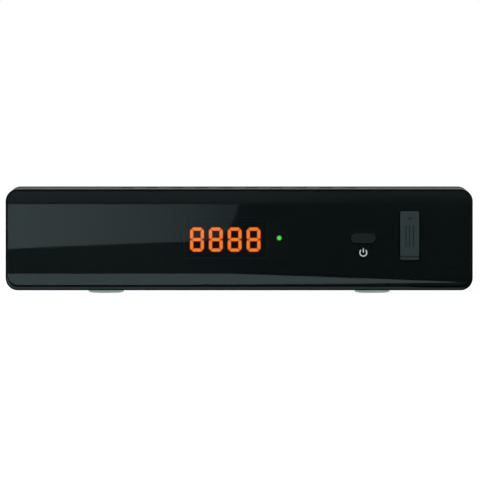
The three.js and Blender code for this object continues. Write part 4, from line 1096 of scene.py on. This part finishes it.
INSULATOR_FIT = 0.02
RING_EDGE = 0.08


def make_ring(name, ring, matrix, slot, edge=RING_EDGE, record_slot=None):
    bm = bmesh.new()
    tube_ring(bm, *ring, matrix, edge)
    finished(shaded(object_from(name, bm)), slot, "housing", record_slot=record_slot)


def make_aerial_sockets():
    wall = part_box("chassis")[1].y / MM
    for name, core in (("input", AERIAL_CORE), ("output", AERIAL_PIN)):
        node = f"antenna_{name}"
        x, _, z = middle_of(node)
        rear = pointing(x, wall, z, (0, 1, 0))
        bm = bmesh.new()
        lathe(bm, AERIAL_SLEEVE + core, AERIAL_SIDES, rear)
        piece = shaded(object_from(f"aerial_{name}", bm), 32)
        finished(piece, "socket_steel", "housing", node)
        inner, outer = core[0][0] + INSULATOR_FIT, AERIAL_BORE - INSULATOR_FIT
        ring = (inner, outer, AERIAL_FLOOR + INSULATOR_FIT, INSULATOR_TOP, 48)
        make_ring(f"aerial_{name}_insulator", ring, rear, "insulator_white", record_slot="plain_plastic")


# Rings as inner radius, outer radius, front and back from the socket's rear end, and sides
AUDIO_INSULATOR = (1.66, 3.25, -0.3, 0.06, 40)
POWER_PIN = (0.4, 1.1, -9.4, -1.55, 28)
POWER_PIN_HEIGHT = 6.4


def make_insulators():
    x, _, z = middle_of("digital_audio_barrel")
    rear = pointing(x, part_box("digital_audio_barrel")[1].y / MM, z, (0, 1, 0))
    make_ring("digital_audio_insulator", AUDIO_INSULATOR, rear, "plain_plastic", 0.04)
    x = middle_of("power_jack")[0]
    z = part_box("main_board")[1].z / MM + POWER_PIN_HEIGHT
    rear = pointing(x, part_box("power_jack")[1].y / MM, z, (0, 1, 0))
    make_ring("power_jack_pin", POWER_PIN, rear, "socket_steel", 0.15)


make_scart_contacts()
make_hdmi_contacts()
make_aerial_sockets()
make_insulators()


# Studio: a pale floor, a white surround, soft lamps and cards that only the gloss sees
SEEN_RAYS = ("Is Camera Ray", "Is Glossy Ray", "Is Transmission Ray")
WORLD_SOFT = 0.55
WORLD_BRIGHT = 1.0
WHITE = (1, 1, 1, 1)
FLOOR_REACH = 6.0
FLOOR_PALE = (0.8, 0.8, 0.8, 1)
FLOOR_DIM = (0.3, 0.3, 0.3, 1)

# The floor's white, and the painted light that raises it in the narrow gap under the set, which lifts the
# set's shadow there
FLOOR_WHITE = 0.845
GAP_PAINTED_LIGHT = 0.95
GAP_HALVES = (("X", 82), ("Y", 53.4))
GAP_FADE = 4


def empty_tree(owner, output="ShaderNodeOutputMaterial"):
    """The owner's node tree with only an output in it, and that output's surface socket."""
    owner.use_nodes = True
    tree = owner.node_tree
    tree.nodes.clear()
    return tree, tree.nodes.new(output).inputs["Surface"]


def mixed_shader(tree, factor, one, other):
    return fed(tree, "ShaderNodeMixShader", {0: factor, 1: one, 2: other})


def seen_factor(tree):
    """1 for the rays that see the studio, and 0 for those that only light the set."""
    path = tree.nodes.new("ShaderNodeLightPath").outputs
    total = path[SEEN_RAYS[0]]
    for name in SEEN_RAYS[1:]:
        total = fed(tree, "ShaderNodeMath", {0: total, 1: path[name]}, operation="MAXIMUM")
    return total


def axis_of(tree, axis):
    """A place's own X, Y or Z on the object."""
    place = fed(tree, "ShaderNodeTexCoord", output="Object")
    return fed(tree, "ShaderNodeSeparateXYZ", {0: place}, axis)


# Painted light: the floor's white rises under the set, fading over its edges, and washes out the shadow in
# the gap there
def floor_glow_with_painted_gap_light(tree):
    under = []
    for axis, half in GAP_HALVES:
        size = fed(tree, "ShaderNodeMath", {0: axis_of(tree, axis)}, operation="ABSOLUTE")
        feeds = {"Value": size, "From Min": half * MM, "From Max": (half - GAP_FADE) * MM}
        under.append(fed(tree, "ShaderNodeMapRange", feeds))
    both = fed(tree, "ShaderNodeMath", enumerate(under), operation="MULTIPLY")
    return fed(tree, "ShaderNodeMapRange", {"Value": both, "To Min": FLOOR_WHITE, "To Max": GAP_PAINTED_LIGHT})


def make_floor():
    """A pale floor that can be seen through from below."""
    mesh = bpy.data.meshes.new("floor")
    corners = [(x * FLOOR_REACH, y * FLOOR_REACH, 0) for x, y in ((-1, -1), (1, -1), (1, 1), (-1, 1))]
    mesh.from_pydata(corners, [], [(0, 1, 2, 3)])
    floor = link_object("floor", mesh)
    material = bpy.data.materials.new("floor_white")
    tree, surface = empty_tree(material)
    pale = fed(tree, "ShaderNodeBsdfDiffuse", {"Color": FLOOR_PALE})
    dim = fed(tree, "ShaderNodeBsdfDiffuse", {"Color": FLOOR_DIM})
    white = fed(tree, "ShaderNodeEmission", {"Strength": floor_glow_with_painted_gap_light(tree)})
    seen = fed(tree, "ShaderNodeAddShader", {0: dim, 1: white})
    above = mixed_shader(tree, seen_factor(tree), pale, seen)
    below = fed(tree, "ShaderNodeNewGeometry", output="Backfacing")
    clear = fed(tree, "ShaderNodeBsdfTransparent")
    tree.links.new(mixed_shader(tree, below, above, clear), surface)
    mesh.materials.append(material)
    floor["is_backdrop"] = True


def make_world():
    world = bpy.data.worlds.new("studio")
    scene.world = world
    tree, surface = empty_tree(world, "ShaderNodeOutputWorld")
    soft = fed(tree, "ShaderNodeBackground", {"Color": WHITE, "Strength": WORLD_SOFT})
    bright = fed(tree, "ShaderNodeBackground", {"Color": WHITE, "Strength": WORLD_BRIGHT})
    tree.links.new(mixed_shader(tree, seen_factor(tree), soft, bright), surface)


def card_material(name, stops):
    """Light that changes along X: stops are (X in millimetres, brightness) from left to right."""
    material = bpy.data.materials.new(name)
    tree, surface = empty_tree(material)
    start, end = stops[0][0], stops[-1][0]
    feeds = {"Value": axis_of(tree, "X"), "From Min": start * MM, "From Max": end * MM}
    strength = fed(tree, "ShaderNodeValToRGB", {"Fac": fed(tree, "ShaderNodeMapRange", feeds)})
    elements = strength.node.color_ramp.elements
    while len(elements) < len(stops):
        elements.new(0.5)
    for element, (x, level) in zip(elements, stops):
        element.position = (x - start) / (end - start)
        element.color = (level, level, level, 1)
    glow = fed(tree, "ShaderNodeEmission", {"Color": WHITE, "Strength": strength})
    tree.links.new(glow, surface)
    return material


def add_card(name, corners, material):
    mesh = bpy.data.meshes.new(name)
    mesh.from_pydata([point(*c) for c in corners], [], [tuple(range(len(corners)))])
    card = link_object(name, mesh)
    mesh.materials.append(material)
    for rays in ("camera", "diffuse", "transmission", "volume_scatter", "shadow"):
        setattr(card, f"visible_{rays}", False)
    card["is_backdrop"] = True


# The cards stand a little in front of the set. A place on the front is seen in them shifted by the
# camera's slant, and enlarged by the short way to the card.
CARD_WAY = 200
CARD_SCALE = 1 + CARD_WAY / CAMERA_DISTANCE
LEAN = (CAMERA_HEIGHT - PHOTO_MIDDLE[1]) / CAMERA_DISTANCE
FACET_DEPTH = 0.7


def on_card(x, z):
    """Where the flat of the front sees the card, for a place on it."""
    return (x * CARD_SCALE, FRONT - CARD_WAY, CAMERA_HEIGHT + (z - CAMERA_HEIGHT) * CARD_SCALE)


# The pale sweep over the left half of the window, and its brightness along X
SWOOSH = [
    (-90.0, 16.0), (-64.5, 17.2), (-39.3, 18.3), (-28.5, 18.6), (-14.1, 19.1), (-9.0, 20.0),
    (-5.5, 21.8), (-3.4, 24.0), (-1.8, 27.2), (-0.6, 30.5), (0.3, 34.0), (0.6, 40.0), (-90.0, 40.0),
]
SWOOSH_FADE = [(-80, 1.0), (-40, 0.72), (-25, 0.59), (-6, 0.375), (2, 0.3)]

# The dark board behind the sweep
BOARD = [(-400, -2), (400, -2), (400, 300), (-400, 300)]
DUSK = [(-90, 0.07), (-30, 0.06), (10, 0.0), (90, 0.0)]

# Rows of the upper facet's pale strip: height of the lower edge, brightness at the left and the right
UPPER_ROWS = [
    (32.9, 0.1, 0.01), (33.5, 0.15, 0.03), (34.1, 0.2, 0.05), (35.2, 0.21, 0.08),
    (36.4, 0.22, 0.12),
]
UPPER_TOP = 38.5

# Outlines on the lower facet, as places where it sees the floor in front of the set
WEDGE = [
    (-14.0, 7.45), (3.9, 7.16), (14.7, 6.8), (25.5, 6.44), (32.7, 6.08), (43.5, 5.72), (54.3, 5.36),
    (61.5, 5.0), (72.3, 4.7), (79.0, 4.25), (90.0, 3.2),
]
NEAR_WEDGE = [
    (-30.0, 3.3), (-14.0, 3.42), (4.0, 3.52), (29.0, 3.68), (52.0, 3.88), (62.0, 4.0), (84.0, 4.15),
    (90, 2.2), (66, 2.25), (48, 3.25), (-30, 3.25),
]
LIP = [(90, 2.15), (66, 2.2), (48, 3.2), (-90, 3.2)]
CARD_LIFT = 0.3


def make_upper_cards():
    """The upper facet looks up at a pale strip, whose lower edge darkens the facet's foot."""
    slope = FACET_DEPTH / (WINDOW_BOX[3] - FACET_LINES[1])
    climb = CARD_WAY * math.tan(2 * math.atan(slope) - math.atan(LEAN))
    tops = [row[0] for row in UPPER_ROWS[1:]] + [UPPER_TOP]
    for number, ((low, left, right), high) in enumerate(zip(UPPER_ROWS, tops)):
        name = f"card_upper_{number}"
        middle = (left + right) / 2.6
        levels = [(-80, left * 1.15), (-40, left * 0.95), (0, left * 0.85), (30, middle), (50, right)]
        outline = ((-120, low), (120, low), (120, high), (-120, high))
        corners = [(x, FRONT - CARD_WAY, z + climb) for x, z in outline]
        add_card(name, corners, card_material(name, levels))


def make_lower_cards(black):
    """The lower facet looks down at the floor, in front of the set."""
    slope = FACET_DEPTH / (FACET_LINES[0] - WINDOW_BOX[2])
    fall = math.tan(2 * math.atan(slope) + math.atan(LEAN))

    def on_floor(places):
        line = FACET_LINES[0]
        return [(x, FRONT + (line - z) * slope - (z - CARD_LIFT) / fall, CARD_LIFT) for x, z in places]

    far = [(90.0, FRONT - 30, CARD_LIFT), (-14.0, FRONT - 30, CARD_LIFT)]
    add_card("card_wedge", on_floor(WEDGE) + far, black)
    add_card("card_near_wedge", on_floor(NEAR_WEDGE), black)
    hem = [(-90, FRONT - 0.4, CARD_LIFT), (90, FRONT - 0.4, CARD_LIFT)]
    add_card("card_lip", on_floor(LIP) + hem, card_material("card_lip", [(-90, 0.62), (90, 0.55)]))


def make_cards():
    board = [(x, FRONT - CARD_WAY - 2, z) for x, z in BOARD]
    add_card("card_front", board, card_material("card_dusk", DUSK))
    sweep = [on_card(x, z) for x, z in SWOOSH]
    add_card("card_sweep", sweep, card_material("card_sweep", SWOOSH_FADE))
    make_upper_cards()
    make_lower_cards(card_material("card_black", [(-90, 0.0), (90, 0.0)]))


# Lamps: name, place and size in metres, and power
LAMP_TARGET = (0, 0, 0.02)
LAMPS = (
    ("lamp_key", (-1.0, -1.6, 1.7), (1.6, 1.2), 26),
    ("lamp_fill", (1.7, -1.0, 1.1), (1.4, 1.4), 10),
    ("lamp_back", (-0.5, 1.8, 1.3), (1.8, 1.0), 12),
)


def make_lamps():
    for name, place, size, power in LAMPS:
        data = bpy.data.lights.new(name, "AREA")
        data.shape = "RECTANGLE"
        data.size, data.size_y = size
        data.energy = power
        lamp = link_object(name, data)
        lamp.location = place
        lamp.rotation_euler = (Vector(LAMP_TARGET) - Vector(place)).to_track_quat("-Z", "Y").to_euler()


make_floor()
make_world()
make_cards()
make_lamps()

scene.view_settings.view_transform = "Standard"

seen_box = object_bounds()
[[list(corner) for corner in box] for box in (cad_box, seen_box)]
